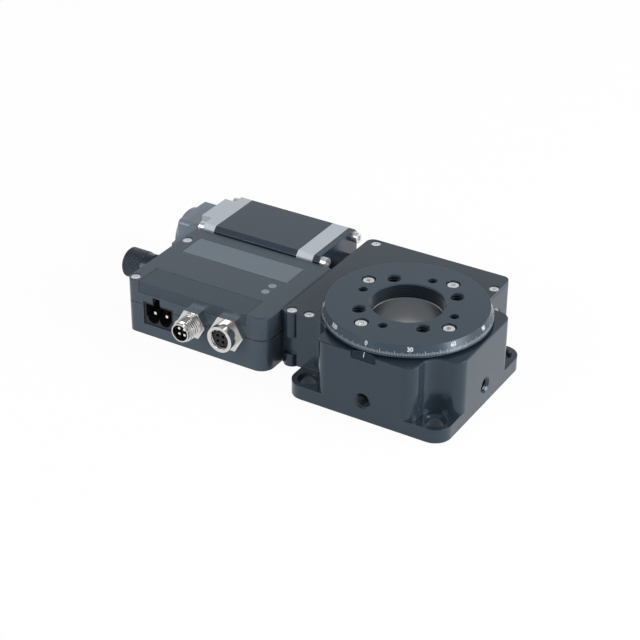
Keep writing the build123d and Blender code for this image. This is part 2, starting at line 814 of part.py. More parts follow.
with BuildPart() as bearing_cage:
    with BuildSketch(Plane.XY.offset(ball_z)):
        Circle(ball_circle_r + cage_half_thick)
        Circle(ball_circle_r - cage_half_thick, mode=Mode.SUBTRACT)
    extrude(amount=cage_half_height, both=True)
    with Locations((0, 0, ball_z)):
        with PolarLocations(ball_circle_r, ball_count):
            Cylinder(ball_r, 4 * cage_half_thick, rotation=(0, 90, 0), mode=Mode.SUBTRACT)
bearing_cage.part.label = "bearing_cage"
export_step(bearing_cage.part, "parts/bearing_cage.step")

with BuildPart() as base_ring:
    with BuildSketch(Plane.XY.offset(bearing_z[0])):
        Circle(bearing_r)
        Circle(base_ring_bore_r, mode=Mode.SUBTRACT)
        with PolarLocations(base_ring_bore_r, 4, start_angle=45):
            Rectangle(lock_nut_slot, lock_nut_slot, mode=Mode.SUBTRACT)
    extrude(amount=register_depth - bearing_z[0])
base_ring.part.label = "base_ring"
export_step(base_ring.part, "parts/base_ring.step")

# Worm, its bearings and the end cap
with BuildPart() as worm_shaft:
    with BuildSketch(drive_line.offset(worm_shaft_x[0])):
        Circle(worm_shaft_r)
    extrude(amount=worm_shaft_x[1] - worm_shaft_x[0])
    with BuildSketch(drive_line.offset(worm_bearing_x[0] + small_bearing_width)):
        Circle(worm_core_relief_r)
    extrude(amount=worm_bearing_x[1] - worm_bearing_x[0] - small_bearing_width)
    with BuildSketch(drive_line.offset(-worm_length / 2)):
        Circle(worm_root_r)
    extrude(amount=worm_length)
    # One right-hand thread whose crest passes x = 0 on the side of the wheel
    with BuildLine() as thread_line:
        Helix(
            pitch=worm_pitch,
            height=worm_turns * worm_pitch,
            radius=worm_pitch_r,
            center=(-(worm_turns / 2 + thread_phase) * worm_pitch, worm_y, worm_z),
            direction=(1, 0, 0),
        )
    start = thread_line.line @ 0
    radial = Vector(0, start.Y - worm_y, start.Z - worm_z).normalized()
    with BuildSketch(Plane(origin=start, x_dir=radial, z_dir=thread_line.line % 0)) as thread_section:
        with BuildLine():
            Polyline(
                (-thread_base, -thread_base_half),
                (tooth_module, -crest_half),
                (tooth_module, crest_half),
                (-thread_base, thread_base_half),
                close=True,
            )
        make_face()
    sweep(path=thread_line.line, is_frenet=True)
worm_shaft.part.label = "worm_shaft"
export_step(worm_shaft.part, "parts/worm_shaft.step")

with BuildPart() as worm_end_cap:
    with BuildSketch(drive_line.offset(worm_bearing_x[1] + small_bearing_width)):
        Circle(small_bearing_r)
    extrude(amount=end_cap_thick)
    with BuildSketch(drive_line.offset(worm_bearing_x[1] + small_bearing_width)):
        Circle(tunnel_lip_r)
    extrude(amount=end_cap_relief, mode=Mode.SUBTRACT)
    with BuildSketch(drive_line.offset(worm_bearing_x[1] + small_bearing_width + end_cap_thick)):
        RegularPolygon(hex_key_d / 2, 6, major_radius=False)
    extrude(amount=-end_cap_relief - hex_key_depth, mode=Mode.SUBTRACT)
worm_end_cap.part.label = "worm_end_cap"
export_step(worm_end_cap.part, "parts/worm_end_cap.step")

# Jaw coupling
with BuildPart() as coupling_hubs:
    with BuildSketch(drive_line.offset(coupling_x[0])):
        Circle(coupling_r)
        Circle(motor_shaft_r, mode=Mode.SUBTRACT)
    extrude(amount=spider_x[0] - coupling_x[0])
    with BuildSketch(drive_line.offset(spider_x[1])):
        Circle(coupling_r)
        Circle(worm_shaft_r, mode=Mode.SUBTRACT)
    extrude(amount=coupling_x[1] - spider_x[1])
    with BuildSketch(drive_line.offset(spider_x[0])):
        Circle(coupling_r)
        Rectangle(2 * coupling_r, coupling_jaw, mode=Mode.INTERSECT)
        Circle(coupling_core_r, mode=Mode.SUBTRACT)
    extrude(amount=spider_thick - jaw_gap)
    with BuildSketch(drive_line.offset(spider_x[1])):
        Circle(coupling_r)
        Rectangle(coupling_jaw, 2 * coupling_r, mode=Mode.INTERSECT)
        Circle(coupling_core_r, mode=Mode.SUBTRACT)
    extrude(amount=-spider_thick + jaw_gap)
coupling_hubs.part.label = "coupling_hubs"
export_step(coupling_hubs.part, "parts/coupling_hubs.step")

with BuildPart() as coupling_spider:
    with BuildSketch(drive_line.offset(spider_x[0])):
        Circle(coupling_r)
        Rectangle(2 * coupling_r, coupling_jaw, mode=Mode.SUBTRACT)
        Rectangle(coupling_jaw, 2 * coupling_r, mode=Mode.SUBTRACT)
        Circle(coupling_core_r)
    extrude(amount=spider_thick)
coupling_spider.part.label = "coupling_spider"
export_step(coupling_spider.part, "parts/coupling_spider.step")

# Motor: laminated stack, two die-cast caps, rotor and shaft, encoder behind
with BuildSketch(drive_line) as motor_square:
    Rectangle(motor_side, motor_side)
    chamfer(motor_square.vertices(), motor_chamfer)

with BuildPart() as motor_stack:
    with BuildSketch(drive_line.offset(motor_stack_x[0])):
        add(motor_square.sketch_local)
        Circle(rotor_r + rotor_gap, mode=Mode.SUBTRACT)
        with PolarLocations(coil_circle_r, coil_count, start_angle=coil_turn):
            Circle(coil_r, mode=Mode.SUBTRACT)
        with GridLocations(motor_bolt_pitch, motor_bolt_pitch, 2, 2):
            Circle(bolt_shank_d / 2, mode=Mode.SUBTRACT)
    extrude(amount=motor_stack_x[1] - motor_stack_x[0])
motor_stack.part.label = "motor_stack"
export_step(motor_stack.part, "parts/motor_stack.step")

with BuildPart() as stator_windings:
    with BuildSketch(drive_line.offset(motor_stack_x[0] - winding_length)):
        with PolarLocations(coil_circle_r, coil_count, start_angle=coil_turn):
            Circle(coil_r)
    extrude(amount=motor_stack_x[1] - motor_stack_x[0] + 2 * winding_length)
    for x, length in ((motor_stack_x[0], -winding_length), (motor_stack_x[1], winding_length)):
        with BuildSketch(drive_line.offset(x)):
            Circle(winding_r[1])
            Circle(winding_r[0], mode=Mode.SUBTRACT)
        extrude(amount=length)
stator_windings.part.label = "stator_windings"
export_step(stator_windings.part, "parts/stator_windings.step")

with BuildPart() as motor_front_cap:
    with BuildSketch(drive_line.offset(motor_stack_x[1])):
        add(motor_square.sketch_local)
    extrude(amount=motor_front_x - motor_stack_x[1])
    with BuildSketch(drive_line.offset(motor_stack_x[1])):
        Circle(cap_cavity_r)
        Circle(bearing_cup_r, mode=Mode.SUBTRACT)
    extrude(amount=motor_front_x - motor_stack_x[1] - cap_wall, mode=Mode.SUBTRACT)
    with BuildSketch(drive_line.offset(motor_stack_x[1])):
        Circle(motor_bearing_r)
    extrude(amount=motor_front_x - motor_stack_x[1] - cap_wall, mode=Mode.SUBTRACT)
    with BuildSketch(drive_line.offset(motor_stack_x[1])):
        Circle(shaft_hole_r)
        with GridLocations(motor_bolt_pitch, motor_bolt_pitch, 2, 2):
            Circle(bolt_shank_d / 2)
    extrude(amount=motor_front_x - motor_stack_x[1], mode=Mode.SUBTRACT)
motor_front_cap.part.label = "motor_front_cap"
export_step(motor_front_cap.part, "parts/motor_front_cap.step")

with BuildPart() as motor_rear_cap:
    with BuildSketch(drive_line.offset(motor_rear_step_x)):
        add(motor_square.sketch_local)
    extrude(amount=motor_stack_x[0] - motor_rear_step_x)
    with BuildSketch(drive_line.offset(motor_rear_x)):
        Rectangle(motor_side, 2 * rear_cross_half)
        Rectangle(2 * rear_cross_half, motor_side)
    extrude(amount=motor_rear_step_x - motor_rear_x)
    with BuildSketch(drive_line.offset(motor_stack_x[0])):
        Circle(cap_cavity_r)
        Circle(bearing_cup_r, mode=Mode.SUBTRACT)
    extrude(amount=-winding_length - winding_end_gap, mode=Mode.SUBTRACT)
    with BuildSketch(drive_line.offset(rear_bearing_x)):
        Circle(motor_bearing_r)
    extrude(amount=motor_stack_x[0] - rear_bearing_x, mode=Mode.SUBTRACT)
    with BuildSketch(drive_line.offset(motor_rear_x)):
        Circle(shaft_hole_r)
        with GridLocations(motor_bolt_pitch, motor_bolt_pitch, 2, 2):
            Circle(bolt_shank_d / 2)
    extrude(amount=motor_stack_x[0] - motor_rear_x, mode=Mode.SUBTRACT)
motor_rear_cap.part.label = "motor_rear_cap"
export_step(motor_rear_cap.part, "parts/motor_rear_cap.step")

with BuildPart() as motor_bolts:
    with BuildSketch(drive_line.offset(motor_rear_step_x)):
        with GridLocations(motor_bolt_pitch, motor_bolt_pitch, 2, 2):
            Circle(cap_head_d / 2)
    extrude(amount=-cap_head_h)
    with BuildSketch(drive_line.offset(motor_rear_step_x)):
        with GridLocations(motor_bolt_pitch, motor_bolt_pitch, 2, 2):
            Circle(bolt_shank_d / 2)
    extrude(amount=through_bolt_tip_x - motor_rear_step_x)
    with BuildSketch(drive_line.offset(motor_rear_step_x - cap_head_h)):
        with GridLocations(motor_bolt_pitch, motor_bolt_pitch, 2, 2):
            RegularPolygon(cap_socket_d / 2, 6, major_radius=False)
    extrude(amount=cap_socket_depth, mode=Mode.SUBTRACT)
motor_bolts.part.label = "motor_bolts"
export_step(motor_bolts.part, "parts/motor_bolts.step")

# Sealed ball bearings of the worm and of the motor
drive_bearings = (
    (worm_bearing_x[0], small_bearing_r, small_bearing_width),
    (worm_bearing_x[1], small_bearing_r, small_bearing_width),
    (rear_bearing_x, motor_bearing_r, motor_bearing_width),
    (front_bearing_x, motor_bearing_r, motor_bearing_width),
)

with BuildPart() as drive_bearing_outers:
    for x, outer_r, width in drive_bearings:
        with BuildSketch(drive_line.offset(x)):
            Circle(outer_r)
            Circle(small_bearing_inner_r + small_bearing_gap, mode=Mode.SUBTRACT)
        extrude(amount=width)
drive_bearing_outers.part.label = "drive_bearing_outers"
export_step(drive_bearing_outers.part, "parts/drive_bearing_outers.step")

with BuildPart() as drive_bearing_inners:
    for x, outer_r, width in drive_bearings:
        with BuildSketch(drive_line.offset(x)):
            Circle(small_bearing_inner_r)
            Circle(worm_shaft_r, mode=Mode.SUBTRACT)
        extrude(amount=width)
drive_bearing_inners.part.label = "drive_bearing_inners"
export_step(drive_bearing_inners.part, "parts/drive_bearing_inners.step")

with BuildPart() as motor_rotor:
    for x0, x1 in (
        (motor_stack_x[0] + rotor_inset, motor_mid_x - rotor_split / 2),
        (motor_mid_x + rotor_split / 2, motor_stack_x[1] - rotor_inset),
    ):
        with BuildSketch(drive_line.offset(x0)):
            Circle(rotor_r)
            Circle(motor_shaft_r, mode=Mode.SUBTRACT)
        extrude(amount=x1 - x0)
    with BuildSketch(drive_line.offset(motor_mid_x)):
        Circle(rotor_r - rotor_split_depth)
        Circle(motor_shaft_r, mode=Mode.SUBTRACT)
    extrude(amount=rotor_split / 2, both=True)
motor_rotor.part.label = "motor_rotor"
export_step(motor_rotor.part, "parts/motor_rotor.step")

with BuildPart() as motor_shaft:
    with BuildSketch(drive_line.offset(motor_shaft_x[0])):
        Circle(motor_shaft_r)
    extrude(amount=motor_shaft_x[1] - motor_shaft_x[0])
    chamfer(motor_shaft.edges(), motor_shaft_chamfer)
motor_shaft.part.label = "motor_shaft"
export_step(motor_shaft.part, "parts/motor_shaft.step")

with BuildPart() as motor_flange:
    with BuildSketch(drive_line.offset(motor_front_x)):
        add(motor_square.sketch_local)
    extrude(amount=mount_plate_x - motor_front_x)
    with BuildSketch(drive_line.offset(mount_plate_x)):
        Circle(mount_neck_r)
    extrude(amount=gear_left_x - mount_plate_x)
    with BuildSketch(drive_line.offset(gear_left_x)):
        Circle(mount_spigot_r)
    extrude(amount=mount_spigot_length)
    with BuildSketch(drive_line.offset(motor_front_x)):
        Circle(coupling_bore_r)
    extrude(amount=gear_left_x + mount_spigot_length - motor_front_x, mode=Mode.SUBTRACT)
    with BuildSketch(drive_line.offset(motor_front_x)):
        with GridLocations(motor_bolt_pitch, motor_bolt_pitch, 2, 2):
            Circle(bolt_shank_d / 2)
    extrude(amount=mount_plate_x - motor_front_x, mode=Mode.SUBTRACT)
motor_flange.part.label = "motor_flange"
export_step(motor_flange.part, "parts/motor_flange.step")

with BuildPart() as flange_screws:
    with BuildSketch(drive_line.offset(mount_plate_x)):
        with GridLocations(motor_bolt_pitch, motor_bolt_pitch, 2, 2):
            Circle(cap_head_d / 2)
    extrude(amount=cap_head_h)
    with BuildSketch(drive_line.offset(mount_plate_x)):
        with GridLocations(motor_bolt_pitch, motor_bolt_pitch, 2, 2):
            Circle(bolt_shank_d / 2)
    extrude(amount=mount_screw_tip_x - mount_plate_x)
    with BuildSketch(drive_line.offset(mount_plate_x + cap_head_h)):
        with GridLocations(motor_bolt_pitch, motor_bolt_pitch, 2, 2):
            RegularPolygon(cap_socket_d / 2, 6, major_radius=False)
    extrude(amount=-cap_socket_depth, mode=Mode.SUBTRACT)
flange_screws.part.label = "flange_screws"
export_step(flange_screws.part, "parts/flange_screws.step")

with BuildPart() as encoder_board:
    with BuildSketch(drive_line.offset(motor_rear_x)):
        RectangleRounded(encoder_inner_side, encoder_inner_side, encoder_inner_r)
        Circle(shaft_hole_r, mode=Mode.SUBTRACT)
    extrude(amount=-encoder_board_thick)
    with BuildSketch(drive_line.offset(motor_rear_x - encoder_board_thick)):
        with Locations((0, encoder_chip[1] / 2 - encoder_disc_r)):
            Rectangle(*encoder_chip)
    extrude(amount=-encoder_chip_h)
encoder_board.part.label = "encoder_board"
export_step(encoder_board.part, "parts/encoder_board.step")

with BuildPart() as encoder_disc:
    with BuildSketch(drive_line.offset(encoder_disc_x)):
        Circle(encoder_disc_r)
        Circle(motor_shaft_r, mode=Mode.SUBTRACT)
    extrude(amount=-encoder_disc_thick)
    with BuildSketch(drive_line.offset(encoder_disc_x)):
        Circle(small_bearing_inner_r)
        Circle(motor_shaft_r, mode=Mode.SUBTRACT)
    extrude(amount=-2 * encoder_disc_thick)
encoder_disc.part.label = "encoder_disc"
export_step(encoder_disc.part, "parts/encoder_disc.step")

with BuildPart() as encoder_cover:
    with BuildSketch(drive_line.offset(motor_rear_x)):
        RectangleRounded(encoder_side, encoder_side, encoder_corner_r)
    extrude(amount=encoder_x - motor_rear_x)
    with BuildSketch(drive_line.offset(encoder_x)):
        Circle(encoder_half)
    extrude(amount=encoder_cap_x - encoder_x)
    chamfer(encoder_cover.faces().sort_by(Axis.X)[0].edges(), encoder_chamfer)
    with BuildSketch(drive_line.offset(motor_rear_x)):
        RectangleRounded(encoder_inner_side, encoder_inner_side, encoder_inner_r)
    extrude(amount=encoder_x + encoder_wall / 2 - motor_rear_x, mode=Mode.SUBTRACT)
    # Cable window on the side of the controller
    with BuildSketch(Plane(origin=(0, worm_y - encoder_half, 0), x_dir=(1, 0, 0), z_dir=(0, -1, 0))):
        with Locations((duct_window_x, duct_window_z)):
            Rectangle(duct_window_side, duct_window_side)
    extrude(amount=-encoder_wall, mode=Mode.SUBTRACT)
    # Two blind holes for the cover's screws
    for y, z in encoder_screw_spots:
        with BuildSketch(drive_line.offset(encoder_x)):
            with Locations((y, z)):
                Circle(screw_shank_d / 2)
        extrude(amount=encoder_x - motor_rear_x, mode=Mode.SUBTRACT)
encoder_cover.part.label = "encoder_cover"
export_step(encoder_cover.part, "parts/encoder_cover.step")

with BuildPart() as encoder_duct:
    with BuildSketch(Plane.XY.offset(duct_z[0])):
        with BuildLine():
            Polyline(
                (duct_x[0], duct_y[0]),
                (box_left_x, duct_y[0]),
                (box_left_x, duct_y[1]),
                (duct_x[1], duct_y[1]),
                (duct_x[1], worm_y - encoder_half),
                (duct_x[0], worm_y - encoder_half),
                close=True,
            )
        make_face()
    extrude(amount=duct_z[1] - duct_z[0])
    with BuildSketch(Plane.YZ.offset(duct_x[0] - duct_wall)):
        with BuildLine():
            Polyline(
                (duct_y[0], duct_z[1] - duct_slope),
                (worm_y - encoder_half, duct_z[1]),
                (worm_y - encoder_half, duct_z[1] + duct_wall),
                (duct_y[0], duct_z[1] + duct_wall),
                close=True,
            )
        make_face()
    extrude(amount=box_left_x - duct_x[0] + 2 * duct_wall, mode=Mode.SUBTRACT)
    # Cable passage: one leg to the encoder, one to the controller
    with BuildSketch(front_plane(duct_window_x, worm_y - encoder_half, duct_window_z)):
        Rectangle(duct_window_side, duct_window_side)
    extrude(amount=worm_y - encoder_half - duct_y[0] - duct_wall, mode=Mode.SUBTRACT)
    with BuildSketch(duct_line):
        Rectangle(duct_window_side, duct_window_side)
    extrude(amount=duct_window_x - duct_window_side / 2 - box_left_x, mode=Mode.SUBTRACT)
encoder_duct.part.label = "encoder_duct"
export_step(encoder_duct.part, "parts/encoder_duct.step")

# Controller box
with BuildSketch(Plane.XY.offset(box_bottom_z)) as box_outline:
    with Locations(((box_left_x + box_right_x) / 2, (box_front_y + box_rear_y) / 2)):
        Rectangle(box_right_x - box_left_x, box_rear_y - box_front_y)
    fillet(box_outline.vertices().group_by(Axis.Y)[-1], box_rear_r)
    fillet(box_outline.vertices().group_by(Axis.Y)[0].sort_by(Axis.X)[-1], box_right_r)
    fillet(box_outline.vertices().group_by(Axis.Y)[0].sort_by(Axis.X)[0], box_left_r)

with BuildPart() as controller_lower_case:
    with BuildSketch(Plane.XY.offset(box_bottom_z)):
        add(box_outline.sketch_local)
    extrude(amount=box_split_z - box_bottom_z)
    with BuildSketch(Plane.XY.offset(box_bottom_z + box_floor)):
        add(box_outline.sketch_local)
        offset(amount=-box_wall)
    extrude(amount=box_split_z, mode=Mode.SUBTRACT)
    with BuildSketch(Plane.XY.offset(box_split_z)):
        add(box_outline.sketch_local)
        offset(amount=-split_groove, mode=Mode.SUBTRACT)
    extrude(amount=-split_groove, mode=Mode.SUBTRACT)
    # Pad against the gearbox and its two screw holes
    with BuildSketch(Plane.YZ.offset(box_right_x)):
        with Locations(((box_pad_y[0] + box_pad_y[1]) / 2, (box_pad_z[0] + box_pad_z[1]) / 2)):
            Rectangle(box_pad_y[1] - box_pad_y[0], box_pad_z[1] - box_pad_z[0])
    extrude(amount=box_pad_x - box_right_x)
    for y in box_link_y:
        with BuildSketch(Plane.YZ.offset(box_right_x - box_wall)):
            with Locations((y, box_link_z)):
                Circle(screw_shank_d / 2)
        extrude(amount=box_wall + box_pad_x - box_right_x, mode=Mode.SUBTRACT)
    with BuildSketch(Plane.YZ.offset(box_right_x - box_wall)):
        with Locations((0, home_wire_z)):
            Circle(bore_of_wire_r)
    extrude(amount=box_wall + box_pad_x - box_right_x, mode=Mode.SUBTRACT)
    # Posts of the board and bosses of the two lid screws
    with BuildSketch(Plane.XY.offset(box_bottom_z + box_floor)):
        with Locations(*board_posts):
            Circle(post_r)
    extrude(amount=board_z - box_bottom_z - box_floor)
    with BuildSketch(Plane.XY.offset(box_bottom_z)):
        with Locations(*box_screw_spots):
            Circle(box_boss_r)
    extrude(amount=box_split_z - box_bottom_z)
    with Locations(*[(x, y, board_z) for x, y in board_posts]):
        Cylinder(board_screw_shank_r, 2 * board_screw_length, mode=Mode.SUBTRACT)
    with Locations(*[(x, y, deck_z - screw_sink) for x, y in box_screw_spots]):
        Cylinder(screw_shank_d / 2, 2 * box_screw_length, mode=Mode.SUBTRACT)
    # Openings of the connectors, the knob and the encoder cable
    with BuildSketch(front_plane(power_mid_x, box_front_y, 0)):
        with Locations((0, power_z[0])):
            Rectangle(power_width, power_height, align=(Align.CENTER, Align.MIN))
    extrude(amount=-box_wall, mode=Mode.SUBTRACT)
    with BuildSketch(front_plane(0, box_front_y, m8_z)):
        with Locations((male_x, 0), (female_x, 0)):
            Circle(m8_body_r)
    extrude(amount=-box_wall, mode=Mode.SUBTRACT)
    with BuildSketch(knob_line.offset(box_left_x)):
        Circle(bush_r)
    extrude(amount=box_wall, mode=Mode.SUBTRACT)
    with BuildSketch(duct_line):
        Rectangle(duct_window_side, duct_window_side)
    extrude(amount=box_wall, mode=Mode.SUBTRACT)
controller_lower_case.part.label = "controller_lower_case"
export_step(controller_lower_case.part, "parts/controller_lower_case.step")

with BuildPart() as controller_upper_case:
    with BuildSketch(Plane.XY.offset(box_split_z)):
        add(box_outline.sketch_local)
    extrude(amount=deck_z - box_split_z)
    chamfer(controller_upper_case.faces().sort_by(Axis.Z)[-1].edges(), box_top_chamfer)
    with BuildSketch(Plane.XY.offset(box_split_z)):
        add(box_outline.sketch_local)
        offset(amount=-box_wall)
    extrude(amount=deck_z - box_floor - box_split_z, mode=Mode.SUBTRACT)
    with BuildSketch(Plane.XY.offset(box_split_z)):
        with Locations(*box_screw_spots):
            Circle(box_boss_r)
    extrude(amount=deck_z - box_floor - box_split_z)
    # Seats of the two label strips; the front one runs over the edge and down the front
    with BuildSketch(Plane.XY.offset(deck_z)):
        with Locations(rear_label_mid):
            Rectangle(rear_label_width, rear_label_side)
        with Locations((front_label_mid_x, front_label_y)):
            Rectangle(front_label_width, base_half, align=(Align.CENTER, Align.MAX))
    extrude(amount=-label_depth, mode=Mode.SUBTRACT)
    with BuildSketch(front_plane(front_label_mid_x, box_front_y, front_label_z)):
        Rectangle(front_label_width, deck_z - front_label_z, align=(Align.CENTER, Align.MIN))
    extrude(amount=-label_depth, mode=Mode.SUBTRACT)
    with Locations(*[(x, y, deck_z) for x, y in box_screw_spots]):
        CounterSinkHole(
            radius=screw_shank_d / 2 + screw_fit,
            counter_sink_radius=screw_head_d / 2 + screw_sink + screw_fit,
            depth=deck_z - box_split_z,
            counter_sink_angle=90,
        )
    with Locations(*[(led_x, y, deck_z) for y in led_y]):
        Cylinder(led_d / 2, 4 * box_floor, mode=Mode.SUBTRACT)
    with BuildSketch(front_plane(power_mid_x, box_front_y, box_split_z)):
        Rectangle(power_width, power_z[1] - box_split_z, align=(Align.CENTER, Align.MIN))
    extrude(amount=-box_wall, mode=Mode.SUBTRACT)
    with BuildSketch(front_plane(power_latch_mid_x, box_front_y, power_z[1])):
        Rectangle(power_latch_width, power_latch_z - power_z[1], align=(Align.CENTER, Align.MIN))
    extrude(amount=-box_wall, mode=Mode.SUBTRACT)
    with BuildSketch(front_plane(0, box_front_y, m8_z)):
        with Locations((male_x, 0), (female_x, 0)):
            Circle(m8_body_r)
    extrude(amount=-box_wall, mode=Mode.SUBTRACT)
    with BuildSketch(knob_line.offset(box_left_x)):
        Circle(bush_r)
    extrude(amount=box_wall, mode=Mode.SUBTRACT)
controller_upper_case.part.label = "controller_upper_case"
export_step(controller_upper_case.part, "parts/controller_upper_case.step")

with BuildPart() as controller_screws:
    with Locations(*[(x, y, deck_z - screw_sink) for x, y in box_screw_spots]):
        Cone(screw_shank_d / 2, screw_head_d / 2, screw_head_h, align=(Align.CENTER, Align.CENTER, Align.MAX))
        Cylinder(screw_shank_d / 2, box_screw_length, align=(Align.CENTER, Align.CENTER, Align.MAX))
        Box(screw_cross_l, screw_cross_w, 2 * screw_cross_h, mode=Mode.SUBTRACT)
        Box(screw_cross_w, screw_cross_l, 2 * screw_cross_h, mode=Mode.SUBTRACT)
controller_screws.part.label = "controller_screws"
export_step(controller_screws.part, "parts/controller_screws.step")

with BuildPart() as case_link_screws:
    for y in box_link_y:
        with BuildSketch(Plane.YZ.offset(box_right_x - box_wall)):
            with Locations((y, box_link_z)):
                Circle(screw_head_d / 2)
        extrude(amount=-2 * screw_head_h)
        with BuildSketch(Plane.YZ.offset(box_right_x - box_wall)):
            with Locations((y, box_link_z)):
                Circle(screw_shank_d / 2)
        extrude(amount=link_screw_length)
        with BuildSketch(Plane.YZ.offset(box_right_x - box_wall - 2 * screw_head_h)):
            with Locations((y, box_link_z)):
                RegularPolygon(screw_shank_d / 2, 6)
        extrude(amount=screw_head_h, mode=Mode.SUBTRACT)
case_link_screws.part.label = "case_link_screws"
export_step(case_link_screws.part, "parts/case_link_screws.step")

with BuildPart() as control_board:
    with BuildSketch(Plane.XY.offset(board_z)):
        with Locations(((board_x[0] + board_x[1]) / 2, (board_y[0] + board_y[1]) / 2)):
            Rectangle(board_x[1] - board_x[0], board_y[1] - board_y[0])
        with Locations(*board_posts):
            Circle(board_screw_shank_r, mode=Mode.SUBTRACT)
    extrude(amount=board_thick)
control_board.part.label = "control_board"
export_step(control_board.part, "parts/control_board.step")

with BuildPart() as board_screws:
    with Locations(*[(x, y, board_z + board_thick) for x, y in board_posts]):
        Cylinder(board_screw_head_r, board_screw_head_h, align=(Align.CENTER, Align.CENTER, Align.MIN))
        Cylinder(
            board_screw_shank_r,
            board_thick + board_screw_length - board_screw_tip_gap,
            align=(Align.CENTER, Align.CENTER, Align.MAX),
        )
board_screws.part.label = "board_screws"
export_step(board_screws.part, "parts/board_screws.step")

with BuildPart() as board_parts:
    for x, y, side_x, side_y, height in board_chips:
        with BuildSketch(Plane.XY.offset(board_z + board_thick)):
            with Locations((x, y)):
                Rectangle(side_x, side_y)
        extrude(amount=height)
    for x, y, side_x, side_y, height in board_chips_below:
        with BuildSketch(Plane.XY.offset(board_z)):
            with Locations((x, y)):
                Rectangle(side_x, side_y)
        extrude(amount=-height)
board_parts.part.label = "board_parts"
export_step(board_parts.part, "parts/board_parts.step")

with BuildPart() as led_lenses:
    with Locations(*[(led_x, y, board_z + board_thick) for y in led_y]):
        Cylinder(led_d / 2, deck_z - board_z - board_thick, align=(Align.CENTER, Align.CENTER, Align.MIN))
led_lenses.part.label = "led_lenses"
export_step(led_lenses.part, "parts/led_lenses.step")

with BuildPart() as label_rear:
    with BuildSketch(Plane.XY.offset(deck_z - label_depth)):
        with Locations(rear_label_mid):
            Rectangle(rear_label_width - label_margin, rear_label_side - label_margin)
    extrude(amount=label_depth - label_sink)
label_rear.part.label = "label_rear"
export_step(label_rear.part, "parts/label_rear.step")

with BuildPart() as label_front:
    with BuildSketch(Plane.XY.offset(deck_z - label_depth)):
        with Locations((front_label_mid_x, front_label_y - label_margin / 2)):
            Rectangle(
                front_label_width - label_margin,
                front_label_y - label_margin / 2 - box_front_y - label_sink,
                align=(Align.CENTER, Align.MAX),
            )
    extrude(amount=label_depth - label_sink)
    with BuildSketch(front_plane(front_label_mid_x, box_front_y + label_depth, front_label_z)):
        with Locations((0, label_margin / 2)):
            Rectangle(
                front_label_width - label_margin,
                deck_z - label_sink - front_label_z - label_margin / 2,
                align=(Align.CENTER, Align.MIN),
            )
    extrude(amount=label_depth - label_sink)
label_front.part.label = "label_front"
export_step(label_front.part, "parts/label_front.step")

# Power inlet: the cavity follows the plug, with a round lobe round each pin
with BuildPart() as power_header:
    with BuildSketch(front_plane(power_mid_x, power_front_y, power_z[0])):
        Rectangle(power_width, power_height, align=(Align.CENTER, Align.MIN))
    extrude(amount=-power_depth)
    with BuildSketch(front_plane(power_mid_x, power_front_y, power_z[0] + power_wall + power_lobe_r)):
        Rectangle(
            power_width - 2 * power_wall,
            power_height - 2 * power_wall - power_lobe_r,
            align=(Align.CENTER, Align.MIN),
        )
        with Locations(*power_pin_spots):
            Circle(power_lobe_r)
    extrude(amount=-power_cavity_depth, mode=Mode.SUBTRACT)
    # Latch window in the roof, pin holes in the back wall
    with BuildSketch(front_plane(power_latch_mid_x, power_front_y, power_z[1] - power_wall)):
        Rectangle(power_latch_width, 2 * power_wall, align=(Align.CENTER, Align.MIN))
    extrude(amount=-power_latch_depth, mode=Mode.SUBTRACT)
    with BuildSketch(front_plane(power_mid_x, power_front_y, power_pin_z)):
        with Locations(*power_pin_spots):
            Rectangle(power_pin_side, power_pin_side)
    extrude(amount=-power_depth, mode=Mode.SUBTRACT)
power_header.part.label = "power_header"
export_step(power_header.part, "parts/power_header.step")

with BuildPart() as power_pins:
    with BuildSketch(front_plane(power_mid_x, power_front_y + power_depth + power_tail, power_pin_z)):
        with Locations(*power_pin_spots):
            Rectangle(power_pin_side, power_pin_side)
    extrude(amount=power_tail + power_depth - power_cavity_depth + power_pin_length)
power_pins.part.label = "power_pins"
export_step(power_pins.part, "parts/power_pins.step")

# Round data connectors: one with pins, one with sockets
with BuildPart() as m8_male_shell:
    with BuildSketch(front_plane(male_x, box_front_y - male_nut_thick, m8_z)):
        Circle(male_thread_r)
    extrude(amount=male_reach - male_tip_length - male_nut_thick)
    with BuildSketch(front_plane(male_x, box_front_y - male_reach + male_tip_length, m8_z)):
        Circle(male_tip_r)
    extrude(amount=male_tip_length)
    with BuildSketch(front_plane(male_x, box_front_y - male_nut_thick, m8_z)):
        Circle(m8_body_r)
    extrude(amount=-male_nut_thick - m8_shell_length)
    with BuildSketch(front_plane(male_x, box_front_y - male_reach, m8_z)):
        Circle(male_bore_r)
    extrude(amount=-male_reach - m8_shell_length, mode=Mode.SUBTRACT)
m8_male_shell.part.label = "m8_male_shell"
export_step(m8_male_shell.part, "parts/m8_male_shell.step")

with BuildPart() as m8_male_insert:
    with BuildSketch(front_plane(male_x, box_front_y - male_reach + male_bore_depth, m8_z)):
        Circle(male_bore_r)
        with PolarLocations(m8_pin_circle_r, 4, start_angle=45):
            Circle(m8_pin_r, mode=Mode.SUBTRACT)
    extrude(amount=male_bore_depth - male_reach - m8_shell_length)
m8_male_insert.part.label = "m8_male_insert"
export_step(m8_male_insert.part, "parts/m8_male_insert.step")

with BuildPart() as m8_male_pins:
    with BuildSketch(front_plane(male_x, m8_back_y + m8_pin_tail, m8_z)):
        with PolarLocations(m8_pin_circle_r, 4, start_angle=45):
            Circle(m8_pin_r)
    extrude(amount=m8_pin_tail + m8_shell_length + male_reach - male_bore_depth + m8_pin_length)
m8_male_pins.part.label = "m8_male_pins"
export_step(m8_male_pins.part, "parts/m8_male_pins.step")

